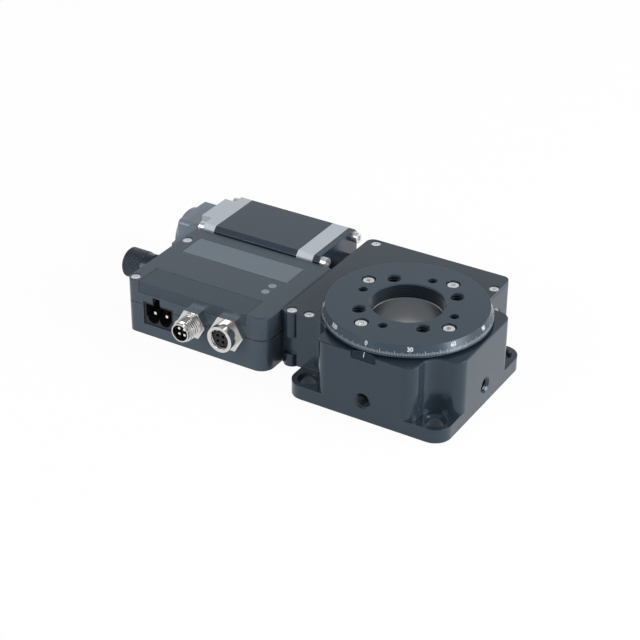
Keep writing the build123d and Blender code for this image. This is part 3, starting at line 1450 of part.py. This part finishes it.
with BuildPart() as m8_female_shell:
    with BuildSketch(front_plane(female_x, box_front_y - female_nut_thick, m8_z)):
        Circle(female_r)
    extrude(amount=female_reach - female_nut_thick)
    with BuildSketch(front_plane(female_x, box_front_y - female_nut_thick, m8_z)):
        Circle(m8_body_r)
    extrude(amount=-female_nut_thick - m8_shell_length)
    with BuildSketch(front_plane(female_x, box_front_y - female_reach, m8_z)):
        Circle(female_bore_r)
    extrude(amount=-female_bore_depth, mode=Mode.SUBTRACT)
    with BuildSketch(front_plane(female_x, box_front_y - female_reach, m8_z)):
        Circle(female_core_r)
    extrude(amount=-female_reach - m8_shell_length, mode=Mode.SUBTRACT)
m8_female_shell.part.label = "m8_female_shell"
export_step(m8_female_shell.part, "parts/m8_female_shell.step")

with BuildPart() as m8_female_insert:
    with BuildSketch(front_plane(female_x, box_front_y - female_reach + female_core_back, m8_z)):
        Circle(female_core_r)
    extrude(amount=female_core_back - female_reach - m8_shell_length)
    with BuildSketch(front_plane(female_x, box_front_y - female_reach + female_core_back, m8_z)):
        with PolarLocations(m8_pin_circle_r, 4, start_angle=45):
            Circle(m8_pin_r + m8_socket_gap)
    extrude(amount=-m8_pin_length, mode=Mode.SUBTRACT)
m8_female_insert.part.label = "m8_female_insert"
export_step(m8_female_insert.part, "parts/m8_female_insert.step")

with BuildPart() as m8_nuts:
    with BuildSketch(front_plane(male_x, box_front_y, m8_z)):
        RegularPolygon(male_nut_flats / 2, 6, major_radius=False)
        Circle(m8_body_r, mode=Mode.SUBTRACT)
    extrude(amount=male_nut_thick)
    with BuildSketch(front_plane(female_x, box_front_y, m8_z)):
        RegularPolygon(female_nut_flats / 2, 6, major_radius=False)
        Circle(m8_body_r, mode=Mode.SUBTRACT)
    extrude(amount=female_nut_thick)
m8_nuts.part.label = "m8_nuts"
export_step(m8_nuts.part, "parts/m8_nuts.step")

# Knob on its push-and-turn encoder
with BuildPart() as knob_encoder:
    with BuildSketch(knob_line.offset(box_left_x + box_wall)):
        Rectangle(knob_encoder_side, knob_encoder_side)
    extrude(amount=knob_encoder_depth)
    with BuildSketch(knob_line.offset(bush_tip_x)):
        Circle(bush_r)
    extrude(amount=box_left_x + box_wall - bush_tip_x)
    with BuildSketch(knob_line.offset(box_left_x + box_wall + knob_cavity_wall)):
        Circle(knob_cavity_r)
    extrude(amount=knob_encoder_depth - 2 * knob_cavity_wall, mode=Mode.SUBTRACT)
    with BuildSketch(knob_line.offset(bush_tip_x)):
        Circle(knob_shaft_r + shaft_fit)
    extrude(amount=box_left_x + box_wall + knob_cavity_wall - bush_tip_x, mode=Mode.SUBTRACT)
knob_encoder.part.label = "knob_encoder"
export_step(knob_encoder.part, "parts/knob_encoder.step")

with BuildPart() as bush_nut:
    with BuildSketch(knob_line.offset(box_left_x)):
        RegularPolygon(bush_nut_r, 6, major_radius=False)
        Circle(bush_r, mode=Mode.SUBTRACT)
    extrude(amount=-bush_nut_thick)
bush_nut.part.label = "bush_nut"
export_step(bush_nut.part, "parts/bush_nut.step")

with BuildPart() as knob:
    with BuildSketch(knob_line.offset(knob_x[0])):
        Circle(knob_r)
    extrude(amount=knob_skirt_x - knob_x[0])
    chamfer(knob.edges().filter_by(GeomType.CIRCLE), knob_chamfer)
    with BuildSketch(knob_line.offset(knob_skirt_x)):
        Circle(knob_skirt_r)
    extrude(amount=knob_x[1] - knob_skirt_x)
    with BuildSketch(knob_line.offset(knob_x[1])):
        Circle(knob_recess_r)
        Circle(2 * knob_shaft_r, mode=Mode.SUBTRACT)
    extrude(amount=-knob_recess_depth, mode=Mode.SUBTRACT)
    with BuildSketch(knob_line.offset(knob_x[1])):
        Circle(knob_shaft_r)
    extrude(amount=knob_shaft_x[0] - knob_x[1], mode=Mode.SUBTRACT)
knob.part.label = "knob"
export_step(knob.part, "parts/knob.step")

with BuildPart() as knob_shaft:
    with BuildSketch(knob_line.offset(knob_shaft_x[0])):
        Circle(knob_shaft_r)
    extrude(amount=knob_shaft_x[1] - knob_shaft_x[0])
    with BuildSketch(knob_line.offset(knob_shaft_x[1])):
        Circle(knob_collar_r)
    extrude(amount=-knob_collar_thick)
knob_shaft.part.label = "knob_shaft"
export_step(knob_shaft.part, "parts/knob_shaft.step")

with BuildPart() as knob_plunger:
    with BuildSketch(knob_line.offset(knob_shaft_x[1])):
        Circle(plunger_r)
    extrude(amount=plunger_thick)
knob_plunger.part.label = "knob_plunger"
export_step(knob_plunger.part, "parts/knob_plunger.step")

# Home sensor under the wheel, with the wires back to the controller
with BuildPart() as home_sensor:
    with BuildSketch(Plane.XY.offset(pocket_floor_z - home_pocket_depth)):
        with Locations((-home_board_r, 0)):
            Rectangle(home_board_x, home_board_y)
    extrude(amount=home_board_h)
    with BuildSketch(Plane.XY.offset(pocket_floor_z - home_pocket_depth + home_board_h)):
        with Locations((-home_r, 0)):
            Rectangle(home_chip_side, home_chip_side)
    extrude(amount=home_chip_h)
    with BuildSketch(Plane(origin=(home_wire_x[0], 0, home_wire_z), z_dir=(1, 0, 0))):
        Circle(home_wire_r)
    extrude(amount=home_wire_x[1] - home_wire_x[0])
home_sensor.part.label = "home_sensor"
export_step(home_sensor.part, "parts/home_sensor.step")
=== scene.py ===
import json
from math import cos, degrees, pi, radians, sin

import bpy
from mathutils import Matrix, Vector


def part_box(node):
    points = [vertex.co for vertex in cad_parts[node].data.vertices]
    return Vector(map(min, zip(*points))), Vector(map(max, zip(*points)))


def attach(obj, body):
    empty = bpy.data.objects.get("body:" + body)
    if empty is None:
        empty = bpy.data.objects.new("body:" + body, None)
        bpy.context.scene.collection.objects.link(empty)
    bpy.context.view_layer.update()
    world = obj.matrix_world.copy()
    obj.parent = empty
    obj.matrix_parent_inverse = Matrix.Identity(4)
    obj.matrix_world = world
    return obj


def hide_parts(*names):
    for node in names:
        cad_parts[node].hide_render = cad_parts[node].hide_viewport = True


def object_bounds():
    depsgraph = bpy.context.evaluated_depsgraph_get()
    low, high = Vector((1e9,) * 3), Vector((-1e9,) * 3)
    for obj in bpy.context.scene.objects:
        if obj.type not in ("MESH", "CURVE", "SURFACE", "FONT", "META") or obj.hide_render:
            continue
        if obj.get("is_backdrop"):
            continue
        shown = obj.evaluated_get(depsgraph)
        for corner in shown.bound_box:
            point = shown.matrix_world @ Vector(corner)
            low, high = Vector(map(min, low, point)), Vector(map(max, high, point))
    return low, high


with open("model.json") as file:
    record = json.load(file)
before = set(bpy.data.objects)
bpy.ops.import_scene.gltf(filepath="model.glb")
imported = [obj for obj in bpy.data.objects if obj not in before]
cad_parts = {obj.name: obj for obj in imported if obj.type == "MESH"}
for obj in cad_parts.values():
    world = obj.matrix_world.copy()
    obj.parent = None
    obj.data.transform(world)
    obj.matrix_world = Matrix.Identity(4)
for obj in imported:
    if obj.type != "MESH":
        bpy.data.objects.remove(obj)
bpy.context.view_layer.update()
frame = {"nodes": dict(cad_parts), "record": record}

# Lengths are in metres and angles in degrees
MM = 0.001

# Camera: where the photograph was taken from, worked out from the table's circles.
# The lens and its sensor are in millimetres
AIM = Vector((-0.0310, -0.0099, 0.0150))
AIM_DISTANCE = 0.6280
AZIMUTH = 31.01
ELEVATION = 31.10
ROLL = -0.33
LENS = 99.86
SENSOR_WIDTH = 36
SHIFT = (0.0059, 0.0172)
CLIP_START = 0.01

# Studio: the overhead values say how high, from the horizon at 0 to the zenith at 1,
# the ceiling starts to darken, where it is darkest, and how bright it is there
WHITE = (1, 1, 1, 1)
FLOOR_COLOUR = (0.9, 0.9, 0.9, 1)
FLOOR_ROUGHNESS = 0.9
FLOOR_REACH = 3.0
FLOOR_GAP = 0.0002
FLOOR_GLOW = 0.96
WORLD_FILL = 0.46
OVERHEAD_FROM = 0.3
OVERHEAD_FULL = 0.75
OVERHEAD = 0.25

# Lamps: name, place, what it points at, size and power
LAMPS = (
    ("key_top", (0.1, 0.35, 0.9), (-0.03, 0, 0), 0.7, 3.0),
    ("right_side", (0.9, 0.1, 0.35), (0, 0, 0.01), 0.6, 11.0),
    ("front_left", (-0.5, -0.9, 0.5), (-0.05, 0, 0.01), 0.6, 6.5),
)

# Finishes
SLATE = (0.019, 0.030, 0.042)
TABLE_SLATE = (0.029, 0.045, 0.063)
CASE_SLATE = (0.042, 0.058, 0.076)
DARK_SLATE = (0.008, 0.017, 0.029)
BLUE = (0.74, 0.87, 1.0)
BROKEN_EDGE = 0.22 * MM
GRAIN_SCALE = 900.0
GRAIN_DETAIL = 3
GRAIN_HEIGHT = 0.00005
LEAST_ROUGHNESS = 0.02

# Table's cone. A place on its slant is a share, from 0 at the foot to 1 at the top.
# A tick's end goes by the first of these numbers that divides its degree
CONE_TOP_R = 28.65 * MM
CONE_LOW_R = 30.0 * MM
CONE_LOW_Z = 27.65 * MM
SCALE_ZERO = -90
DEGREES_PER_NUMBER = 30
DEGREES_PER_TICK = 1
TICK_START = 0.09
TICK_END = {10: 0.47, 5: 0.39, 1: 0.30}
TICK_WIDTH = 0.11 * MM
PRINT_LIFT = 0.015 * MM
NUMBER_HEIGHT = 1.45 * MM
NUMBER_PLACE = 0.66
NUMBER_WEIGHT = 0.035
FONT_SIZE_PER_CAPITAL = 1.42
FONT_RESOLUTION = 3

# Index line
INDEX_X = 0.0
INDEX_LINE_FOOT = 1.6 * MM
INDEX_LINE_WIDTH = 0.26 * MM
INDEX_BROW_BACK = 0.7 * MM

# Threads: the radius is the root's, at the wall or barrel that carries the thread, and around
# counts the segments in a turn. The root takes its share of the pitch, and a skin starts
# SKIN_GAP from the face that it would touch and ends THREAD_RUNOUT before a rim
BORE_THREAD = {"radius": 13.14 * MM, "depth": 0.25 * MM, "pitch": 0.635 * MM, "around": 96}
M6_THREAD = {"radius": 2.49 * MM, "depth": 0.32 * MM, "pitch": 1.0 * MM, "around": 32}
MALE_THREAD = {
    "radius": 3.98 * MM, "depth": 0.24 * MM, "pitch": 1.0 * MM, "around": 64, "inside": False
}
FEMALE_THREAD = {"radius": 3.89 * MM, "depth": 0.24 * MM, "pitch": 1.0 * MM, "around": 64}
MALE_THREAD_LENGTH = 5.3 * MM
FEMALE_THREAD_LENGTH = 2.0 * MM
MALE_TIP = 1.6 * MM
THREAD_RUNOUT = 0.45 * MM
ROOT_SHARE = 0.35
SKIN_GAP = 0.05 * MM
TABLE_TAPS = 4
TABLE_TAP_TURN = 45
TABLE_TAP_HALF_GRID = 12.5 * MM
SIDE_TAP_Z = 7.7 * MM
SIDE_TAP_START = 0.75 * MM
SIDE_TAP_LENGTH = 5.2 * MM
BASE_HALF = 31.0 * MM

# Knob: a ridge makes KNURL_TURNS over the knob's length
KNOB_SEGMENTS = 272
KNOB_CHAMFER = 0.6 * MM
KNOB_SKIRT_LENGTH = 3.2 * MM
KNOB_SKIRT_STEP = 0.35 * MM
KNOB_RECESS_R = 4.6 * MM
KNOB_RECESS_DEPTH = 2.0 * MM
KNOB_CORE_R = 3.0 * MM
KNOB_SHAFT_R = 1.55 * MM
KNURL_STARTS = 34
KNURL_ROWS = 48
KNURL_DEPTH = 0.32 * MM
KNURL_TURNS = -0.20

boxes = {name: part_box(name) for name in frame["nodes"]}


def material(
    name, colour, roughness, metallic=0.0, specular=0.5, grain=0.0, grain_scale=GRAIN_SCALE,
    stretch=(1, 1, 1), tint=(1, 1, 1), edge=0.0, turned=0.0,
):
    """Principled material, with the sheen of a turned face if turned.

    A grain varies its roughness and bumps it, and edge breaks its sharp edges by that radius.
    """
    made = bpy.data.materials.new(name)
    made.use_nodes = True
    nodes, links = made.node_tree.nodes, made.node_tree.links
    shader = nodes["Principled BSDF"]
    shader.inputs["Base Color"].default_value = (*colour, 1)
    shader.inputs["Metallic"].default_value = metallic
    shader.inputs["Roughness"].default_value = roughness
    shader.inputs["Specular IOR Level"].default_value = specular
    shader.inputs["Specular Tint"].default_value = (*tint, 1)
    if turned:
        around = nodes.new("ShaderNodeTangent")
        around.direction_type = "RADIAL"
        around.axis = "Z"
        shader.inputs["Anisotropic"].default_value = turned
        links.new(around.outputs["Tangent"], shader.inputs["Tangent"])
    if grain:
        place = nodes.new("ShaderNodeTexCoord")
        mapping = nodes.new("ShaderNodeMapping")
        mapping.inputs["Scale"].default_value = stretch
        noise = nodes.new("ShaderNodeTexNoise")
        noise.inputs["Scale"].default_value = grain_scale
        noise.inputs["Detail"].default_value = GRAIN_DETAIL
        rough = nodes.new("ShaderNodeMapRange")
        rough.inputs["To Min"].default_value = max(roughness - grain, LEAST_ROUGHNESS)
        rough.inputs["To Max"].default_value = roughness + grain
        bump = nodes.new("ShaderNodeBump")
        bump.inputs["Strength"].default_value = grain
        bump.inputs["Distance"].default_value = GRAIN_HEIGHT
        links.new(place.outputs["Object"], mapping.inputs["Vector"])
        links.new(mapping.outputs["Vector"], noise.inputs["Vector"])
        links.new(noise.outputs["Fac"], rough.inputs["Value"])
        links.new(rough.outputs["Result"], shader.inputs["Roughness"])
        links.new(noise.outputs["Fac"], bump.inputs["Height"])
        links.new(bump.outputs["Normal"], shader.inputs["Normal"])
        if edge:
            rounding = nodes.new("ShaderNodeBevel")
            rounding.inputs["Radius"].default_value = edge
            links.new(rounding.outputs["Normal"], bump.inputs["Normal"])
    return made


def anodised(name, colour, roughness, specular, grain, turned=0.0):
    """Dark bluish finish with broken edges."""
    return material(
        name, colour, roughness, specular=specular, grain=grain, tint=BLUE, edge=BROKEN_EDGE,
        turned=turned,
    )


looks = {
    "housing": anodised("anodised_housing", SLATE, 0.16, 0.50, 0.003),
    "cover": anodised("anodised_cover", SLATE, 0.16, 0.50, 0.003),
    "table_top": anodised("anodised_table", TABLE_SLATE, 0.22, 0.42, 0.02, turned=0.6),
    "case": anodised("anodised_case", CASE_SLATE, 0.25, 0.50, 0.03),
    "index": anodised("anodised_index", DARK_SLATE, 0.18, 0.20, 0.02),
    "motor_black": anodised("motor_black", (0.010, 0.019, 0.033), 0.26, 0.85, 0.02),
    "motor_cap": material(
        "cast_aluminium", (0.50, 0.54, 0.59), 0.45, metallic=0.5, specular=0.4, grain=0.10,
        grain_scale=1500.0,
    ),
    "steel": material(
        "turned_steel", (0.33, 0.34, 0.35), 0.22, metallic=1.0, grain=0.005, grain_scale=500.0,
        stretch=(1, 1, 0.03), turned=0.6,
    ),
    "screws": material("bright_screw", (0.76, 0.77, 0.78), 0.28, metallic=0.7, grain=0.05),
    "bronze": material("bronze", (0.55, 0.33, 0.13), 0.35, metallic=1.0, grain=0.10),
    "cage": material("brass_cage", (0.60, 0.45, 0.20), 0.35, metallic=1.0, grain=0.10),
    "copper": material("copper_wire", (0.50, 0.20, 0.08), 0.40, metallic=1.0, grain=0.15),
    "spider": material("red_spider", (0.30, 0.03, 0.02), 0.45, grain=0.05),
    "magnet": material("magnet", (0.45, 0.45, 0.47), 0.30, metallic=1.0, grain=0.05),
    "black_plastic": material(
        "black_plastic", (0.010, 0.011, 0.013), 0.42, specular=0.3, grain=0.08
    ),
    "board": material("circuit_board", (0.01, 0.10, 0.04), 0.40, grain=0.05),
    "nickel": material("nickel", (0.62, 0.62, 0.61), 0.14, metallic=1.0, grain=0.03),
    "gold": material("pin_metal", (0.80, 0.78, 0.72), 0.22, metallic=1.0, grain=0.03),
    "label": material("label_film", (0.128, 0.165, 0.200), 0.44, specular=0.30, grain=0.05),
    "lens": material("light_guide", (0.20, 0.24, 0.28), 0.25, grain=0.03),
    "knob": material(
        "knob_black", (0.018, 0.027, 0.041), 0.30, specular=0.45, grain=0.03, tint=BLUE
    ),
    "print": material("white_print", (0.62, 0.65, 0.68), 0.55, specular=0.3, grain=0.04),
    "encoder": material("encoder_shell", (0.160, 0.205, 0.250), 0.30, grain=0.03),
    "front_label": material(
        "dark_film", (0.034, 0.049, 0.067), 0.30, specular=0.36, grain=0.03, tint=BLUE
    ),
    "thread": material("thread_flank", (0.012, 0.018, 0.025), 0.20, specular=0.45, tint=BLUE),
    # Painted shade: near-black colour for the threads' roots, where the groove would be in shadow
    "thread_shade": material("thread_shade", (0.003, 0.004, 0.005), 0.24, specular=0.22),
    "ticks": material("engraved_tick", (0.46, 0.49, 0.52), 0.55, specular=0.3, grain=0.04),
}
OWN_LOOKS = {"encoder_cover": "encoder", "encoder_duct": "encoder", "label_front": "front_label"}

for part in frame["record"]["subparts"]:
    node = frame["nodes"][part["node"]]
    node.data.materials.clear()
    node.data.materials.append(looks[part["material_slot"]])
for name, look in OWN_LOOKS.items():
    frame["nodes"][name].data.materials[0] = looks[look]


def linked(name, data):
    """Object for a mesh, curve, lamp or camera, in the scene's collection."""
    made = bpy.data.objects.new(name, data)
    bpy.context.scene.collection.objects.link(made)
    return made


def new_object(name, points, faces, look, body):
    """Flat-shaded mesh object in the row frame, which moves with a body and takes the material of
    a look.
    """
    mesh = bpy.data.meshes.new(name)
    mesh.from_pydata(points, [], faces)
    mesh.validate()
    mesh.materials.append(looks[look])
    mesh.shade_flat()
    made = linked(name, mesh)
    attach(made, body)
    return made


def on_cone(turn, share, lift):
    """Point on the table's graduated cone, lifted outwards: the turn is counted from +X."""
    r = CONE_LOW_R + (CONE_TOP_R - CONE_LOW_R) * share + lift
    z = CONE_LOW_Z + (boxes["table_disc"][1].z - CONE_LOW_Z) * share
    return Vector((r * cos(radians(turn)), r * sin(radians(turn)), z))


def graduations():
    """One tick for each degree, longer at each fifth and longest at each tenth."""
    points, faces = [], []
    half = degrees(TICK_WIDTH / 2 / CONE_LOW_R)
    for step in range(0, 360, DEGREES_PER_TICK):
        turn = step + SCALE_ZERO
        end = next(share for every, share in TICK_END.items() if step % every == 0)
        first = len(points)
        for side, share in ((-1, TICK_START), (1, TICK_START), (1, end), (-1, end)):
            points.append(on_cone(turn + side * half, share, PRINT_LIFT))
        faces.append(tuple(range(first, first + 4)))
    new_object("graduation_ticks", points, faces, "ticks", "table")


def text_mesh(name, words):
    """Flat mesh of some digits, centred on its origin."""
    curve = bpy.data.curves.new(name, "FONT")
    curve.body = words
    curve.size = NUMBER_HEIGHT * FONT_SIZE_PER_CAPITAL
    curve.align_x = "CENTER"
    curve.align_y = "CENTER"
    curve.resolution_u = FONT_RESOLUTION
    curve.offset = NUMBER_HEIGHT * NUMBER_WEIGHT
    made = linked(name, curve)
    bpy.context.view_layer.update()
    depsgraph = bpy.context.evaluated_depsgraph_get()
    mesh = bpy.data.meshes.new_from_object(made.evaluated_get(depsgraph))
    bpy.data.objects.remove(made)
    return mesh


def numbers():
    """The scale's numbers, each wrapped onto the cone."""
    slope_r = CONE_LOW_R - CONE_TOP_R
    slope_z = boxes["table_disc"][1].z - CONE_LOW_Z
    slant = (slope_r**2 + slope_z**2) ** 0.5
    for value in range(0, 360, DEGREES_PER_NUMBER):
        turn = value + SCALE_ZERO
        mesh = text_mesh(f"number_{value}", str(value))
        for point in mesh.vertices:
            around, along = point.co.x, point.co.y
            share = NUMBER_PLACE + along / slant
            point.co = on_cone(turn + degrees(around / CONE_TOP_R), share, 2 * PRINT_LIFT)
        mesh.materials.clear()
        mesh.materials.append(looks["print"])
        made = linked(f"scale_number_{value}", mesh)
        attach(made, "table")


def index_line():
    """White line up the front of the index plate, whose top leans back."""
    low, high = boxes["index_plate"]
    half = INDEX_LINE_WIDTH / 2
    lift = 2 * PRINT_LIFT
    foot_z = low.z + INDEX_LINE_FOOT
    top_z = high.z - lift
    points = [
        (INDEX_X - half, low.y - lift, foot_z),
        (INDEX_X + half, low.y - lift, foot_z),
        (INDEX_X + half, low.y + INDEX_BROW_BACK - lift, top_z),
        (INDEX_X - half, low.y + INDEX_BROW_BACK - lift, top_z),
    ]
    new_object("index_line", points, [(0, 1, 2, 3)], "print", "base")


def thread(
    name, start, axis, length, look, body, slot, radius, depth, pitch, around, inside=True
):
    """Helical thread: a skin that runs along axis from start, with a darker root of painted shade.
    """
    axis = Vector(axis).normalized()
    side = axis.orthogonal().normalized()
    other = axis.cross(side)
    crest_r = radius - depth if inside else radius + depth
    profile = ((0, radius), (ROOT_SHARE, radius), ((1 + ROOT_SHARE) / 2, crest_r))
    row = len(profile)
    steps = (int(length / pitch) + 2) * around
    points, places = [], []
    for step in range(steps + 1):
        turn = 2 * pi * step / around
        outward = side * cos(turn) + other * sin(turn)
        for share, r in profile:
            along = min(max((step / around + share - 1) * pitch, 0), length)
            places.append(along)
            points.append(Vector(start) + axis * along + outward * r)
    faces, shaded = [], []
    for step in range(steps):
        left = row * step
        right, crest, following = left + 1, left + 2, left + row * around
        for low, high in ((left, right), (right, crest), (crest, following)):
            band = (low, low + row, high + row, high)
            if band[2] < len(points) and len({places[corner] for corner in band}) > 1:
                faces.append(band[::-1] if inside else band)
                shaded.append(high == right)
    made = new_object(name, points, faces, look, body)
    # The root bands take the painted shade
    made.data.materials.append(looks["thread_shade"])
    for face, dark in zip(made.data.polygons, shaded):
        face.material_index = int(dark)


def threads():
    """Threads of the table's opening and taps, the side taps and both round connectors."""
    table_low, table_high = boxes["table_disc"]
    lip = boxes["spindle"][1].z
    thread(
        "bore_thread", (0, 0, lip + SKIN_GAP), (0, 0, 1), table_high.z - lip - THREAD_RUNOUT,
        "thread", "table", "table_top", **BORE_THREAD,
    )
    tap_r = TABLE_TAP_HALF_GRID * 2**0.5
    for k in range(TABLE_TAPS):
        turn = radians(TABLE_TAP_TURN + 360 // TABLE_TAPS * k)
        start = (tap_r * cos(turn), tap_r * sin(turn), table_low.z + SKIN_GAP)
        thread(
            f"table_tap_thread_{k}", start, (0, 0, 1), table_high.z - table_low.z - THREAD_RUNOUT,
            "thread", "table", "table_top", **M6_THREAD,
        )
    for name, start, axis in (
        ("front_tap_thread", (0, SIDE_TAP_START - BASE_HALF, SIDE_TAP_Z), (0, 1, 0)),
        ("right_tap_thread", (BASE_HALF - SIDE_TAP_START, 0, SIDE_TAP_Z), (-1, 0, 0)),
    ):
        thread(name, start, axis, SIDE_TAP_LENGTH, "thread", "base", "housing", **M6_THREAD)
    for name, node, inset, length, size in (
        ("male_barrel_thread", "m8_male_shell", MALE_TIP, MALE_THREAD_LENGTH, MALE_THREAD),
        ("female_barrel_thread", "m8_female_shell", SKIN_GAP, FEMALE_THREAD_LENGTH, FEMALE_THREAD),
    ):
        low, high = boxes[node]
        middle = (low + high) / 2
        start = (middle.x, low.y + inset, middle.z)
        thread(name, start, (0, 1, 0), length, "nickel", "base", "nickel", **size)


def knurled_knob():
    """The knob: a chamfered front, diagonal ridges, a plain skirt and a hollow back."""
    low, high = boxes["knob"]
    middle = (low + high) / 2
    radius = (high.y - low.y) / 2
    length = high.x - low.x
    knurl_end = length - KNOB_SKIRT_LENGTH
    skirt_r = radius - KNOB_SKIRT_STEP
    recess = length - KNOB_RECESS_DEPTH
    half = KNOB_CHAMFER / 2
    # Distance from the front, radius, and 1 where the ridges are cut
    stations = [
        (0, radius - KNOB_CHAMFER, 0),
        (half, radius - half, 0),
        (KNOB_CHAMFER, radius - KNURL_DEPTH / 4, 0),
    ]
    for row in range(KNURL_ROWS + 1):
        x = KNOB_CHAMFER + (knurl_end - 2 * KNOB_CHAMFER) * row / KNURL_ROWS
        stations.append((x, radius, 1))
    stations += [
        (knurl_end - half, radius - half, 0),
        (knurl_end, skirt_r, 0),
        (length - half, skirt_r, 0),
        (length, skirt_r - half, 0),
        (length, KNOB_RECESS_R, 0),
        (recess, KNOB_RECESS_R, 0),
        (recess, KNOB_CORE_R, 0),
        (length, KNOB_CORE_R, 0),
        (length, KNOB_SHAFT_R, 0),
    ]
    points, faces = [], []
    for x, r, cut in stations:
        for k in range(KNOB_SEGMENTS):
            turn = 2 * pi * k / KNOB_SEGMENTS
            phase = KNURL_STARTS * turn / 2 + pi * KNURL_STARTS * KNURL_TURNS * x / length
            here = r - KNURL_DEPTH * (1 - abs(sin(phase))) * cut
            points.append((low.x + x, middle.y + here * cos(turn), middle.z + here * sin(turn)))
    for row in range(len(stations) - 1):
        first = row * KNOB_SEGMENTS
        for k in range(KNOB_SEGMENTS):
            a, b = first + k, first + (k + 1) % KNOB_SEGMENTS
            faces.append((a, b, b + KNOB_SEGMENTS, a + KNOB_SEGMENTS))
    faces.append(tuple(reversed(range(KNOB_SEGMENTS))))
    knob = new_object("knurled_knob", points, faces, "knob", "knob")
    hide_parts("knob")


def seen_directly(nodes, links):
    """1 for what the camera, a mirror-like surface or glass sees, and 0 for light that spreads."""
    path = nodes.new("ShaderNodeLightPath")
    seen = path.outputs["Is Camera Ray"]
    for name in ("Is Glossy Ray", "Is Transmission Ray"):
        either = nodes.new("ShaderNodeMath")
        either.operation = "MAXIMUM"
        links.new(seen, either.inputs[0])
        links.new(path.outputs[name], either.inputs[1])
        seen = either.outputs[0]
    return seen


def studio_floor():
    """White floor: it shows white where it is seen, and keeps a little shading for the shadow."""
    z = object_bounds()[0][2] - FLOOR_GAP
    mesh = bpy.data.meshes.new("studio_floor")
    corners = [(-FLOOR_REACH, -FLOOR_REACH, z), (FLOOR_REACH, -FLOOR_REACH, z)]
    corners += [(FLOOR_REACH, FLOOR_REACH, z), (-FLOOR_REACH, FLOOR_REACH, z)]
    mesh.from_pydata(corners, [], [(0, 1, 2, 3)])
    floor = linked("studio_floor", mesh)
    paint = bpy.data.materials.new("floor_white")
    paint.use_nodes = True
    nodes, links = paint.node_tree.nodes, paint.node_tree.links
    shader = nodes["Principled BSDF"]
    shader.inputs["Base Color"].default_value = FLOOR_COLOUR
    shader.inputs["Roughness"].default_value = FLOOR_ROUGHNESS
    glow = nodes.new("ShaderNodeEmission")
    mix = nodes.new("ShaderNodeMixShader")
    share = nodes.new("ShaderNodeMath")
    share.operation = "MULTIPLY"
    share.inputs[1].default_value = FLOOR_GLOW
    links.new(seen_directly(nodes, links), share.inputs[0])
    links.new(share.outputs[0], mix.inputs["Fac"])
    links.new(shader.outputs[0], mix.inputs[1])
    links.new(glow.outputs[0], mix.inputs[2])
    links.new(mix.outputs[0], nodes["Material Output"].inputs["Surface"])
    mesh.materials.append(paint)
    floor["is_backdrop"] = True


def studio_world():
    """White walls down to the horizon and a darker ceiling, dimmed where light only spreads."""
    world = bpy.data.worlds.new("studio")
    bpy.context.scene.world = world
    world.use_nodes = True
    nodes, links = world.node_tree.nodes, world.node_tree.links
    back = nodes["Background"]
    back.inputs["Color"].default_value = WHITE
    level = nodes.new("ShaderNodeMapRange")
    level.inputs["To Min"].default_value = WORLD_FILL
    level.inputs["To Max"].default_value = 1.0
    place = nodes.new("ShaderNodeTexCoord")
    split = nodes.new("ShaderNodeSeparateXYZ")
    ceiling = nodes.new("ShaderNodeMapRange")
    ceiling.inputs["From Min"].default_value = OVERHEAD_FROM
    ceiling.inputs["From Max"].default_value = OVERHEAD_FULL
    ceiling.inputs["To Min"].default_value = 1.0
    ceiling.inputs["To Max"].default_value = OVERHEAD
    both = nodes.new("ShaderNodeMath")
    both.operation = "MULTIPLY"
    links.new(place.outputs["Generated"], split.inputs[0])
    links.new(split.outputs["Z"], ceiling.inputs["Value"])
    links.new(seen_directly(nodes, links), level.inputs["Value"])
    links.new(level.outputs["Result"], both.inputs[0])
    links.new(ceiling.outputs["Result"], both.inputs[1])
    links.new(both.outputs[0], back.inputs["Strength"])


def soft_light(name, place, aim, size, power):
    """Square lamp that points from its place at its aim."""
    lamp = bpy.data.lights.new(name, "AREA")
    lamp.energy = power
    lamp.size = size
    made = linked(name, lamp)
    made.location = place
    made.rotation_euler = (Vector(aim) - Vector(place)).to_track_quat("-Z", "Y").to_euler()


def camera():
    """The photograph's own view."""
    turn, rise = radians(AZIMUTH), radians(ELEVATION)
    forward = Vector((-sin(turn) * cos(rise), cos(turn) * cos(rise), -sin(rise)))
    lens = bpy.data.cameras.new("photo_camera")
    lens.lens = LENS
    lens.sensor_width = SENSOR_WIDTH
    lens.shift_x, lens.shift_y = SHIFT
    lens.clip_start = CLIP_START
    made = linked("photo_camera", lens)
    rolled = Matrix.Rotation(radians(-ROLL), 3, "Z")
    turned = forward.to_track_quat("-Z", "Y").to_matrix() @ rolled
    made.matrix_world = Matrix.Translation(AIM - forward * AIM_DISTANCE) @ turned.to_4x4()
    bpy.context.scene.camera = made


camera()
bpy.context.scene.view_settings.view_transform = "Standard"
graduations()
numbers()
index_line()
threads()
knurled_knob()
studio_floor()
studio_world()
for lamp in LAMPS:
    soft_light(*lamp)
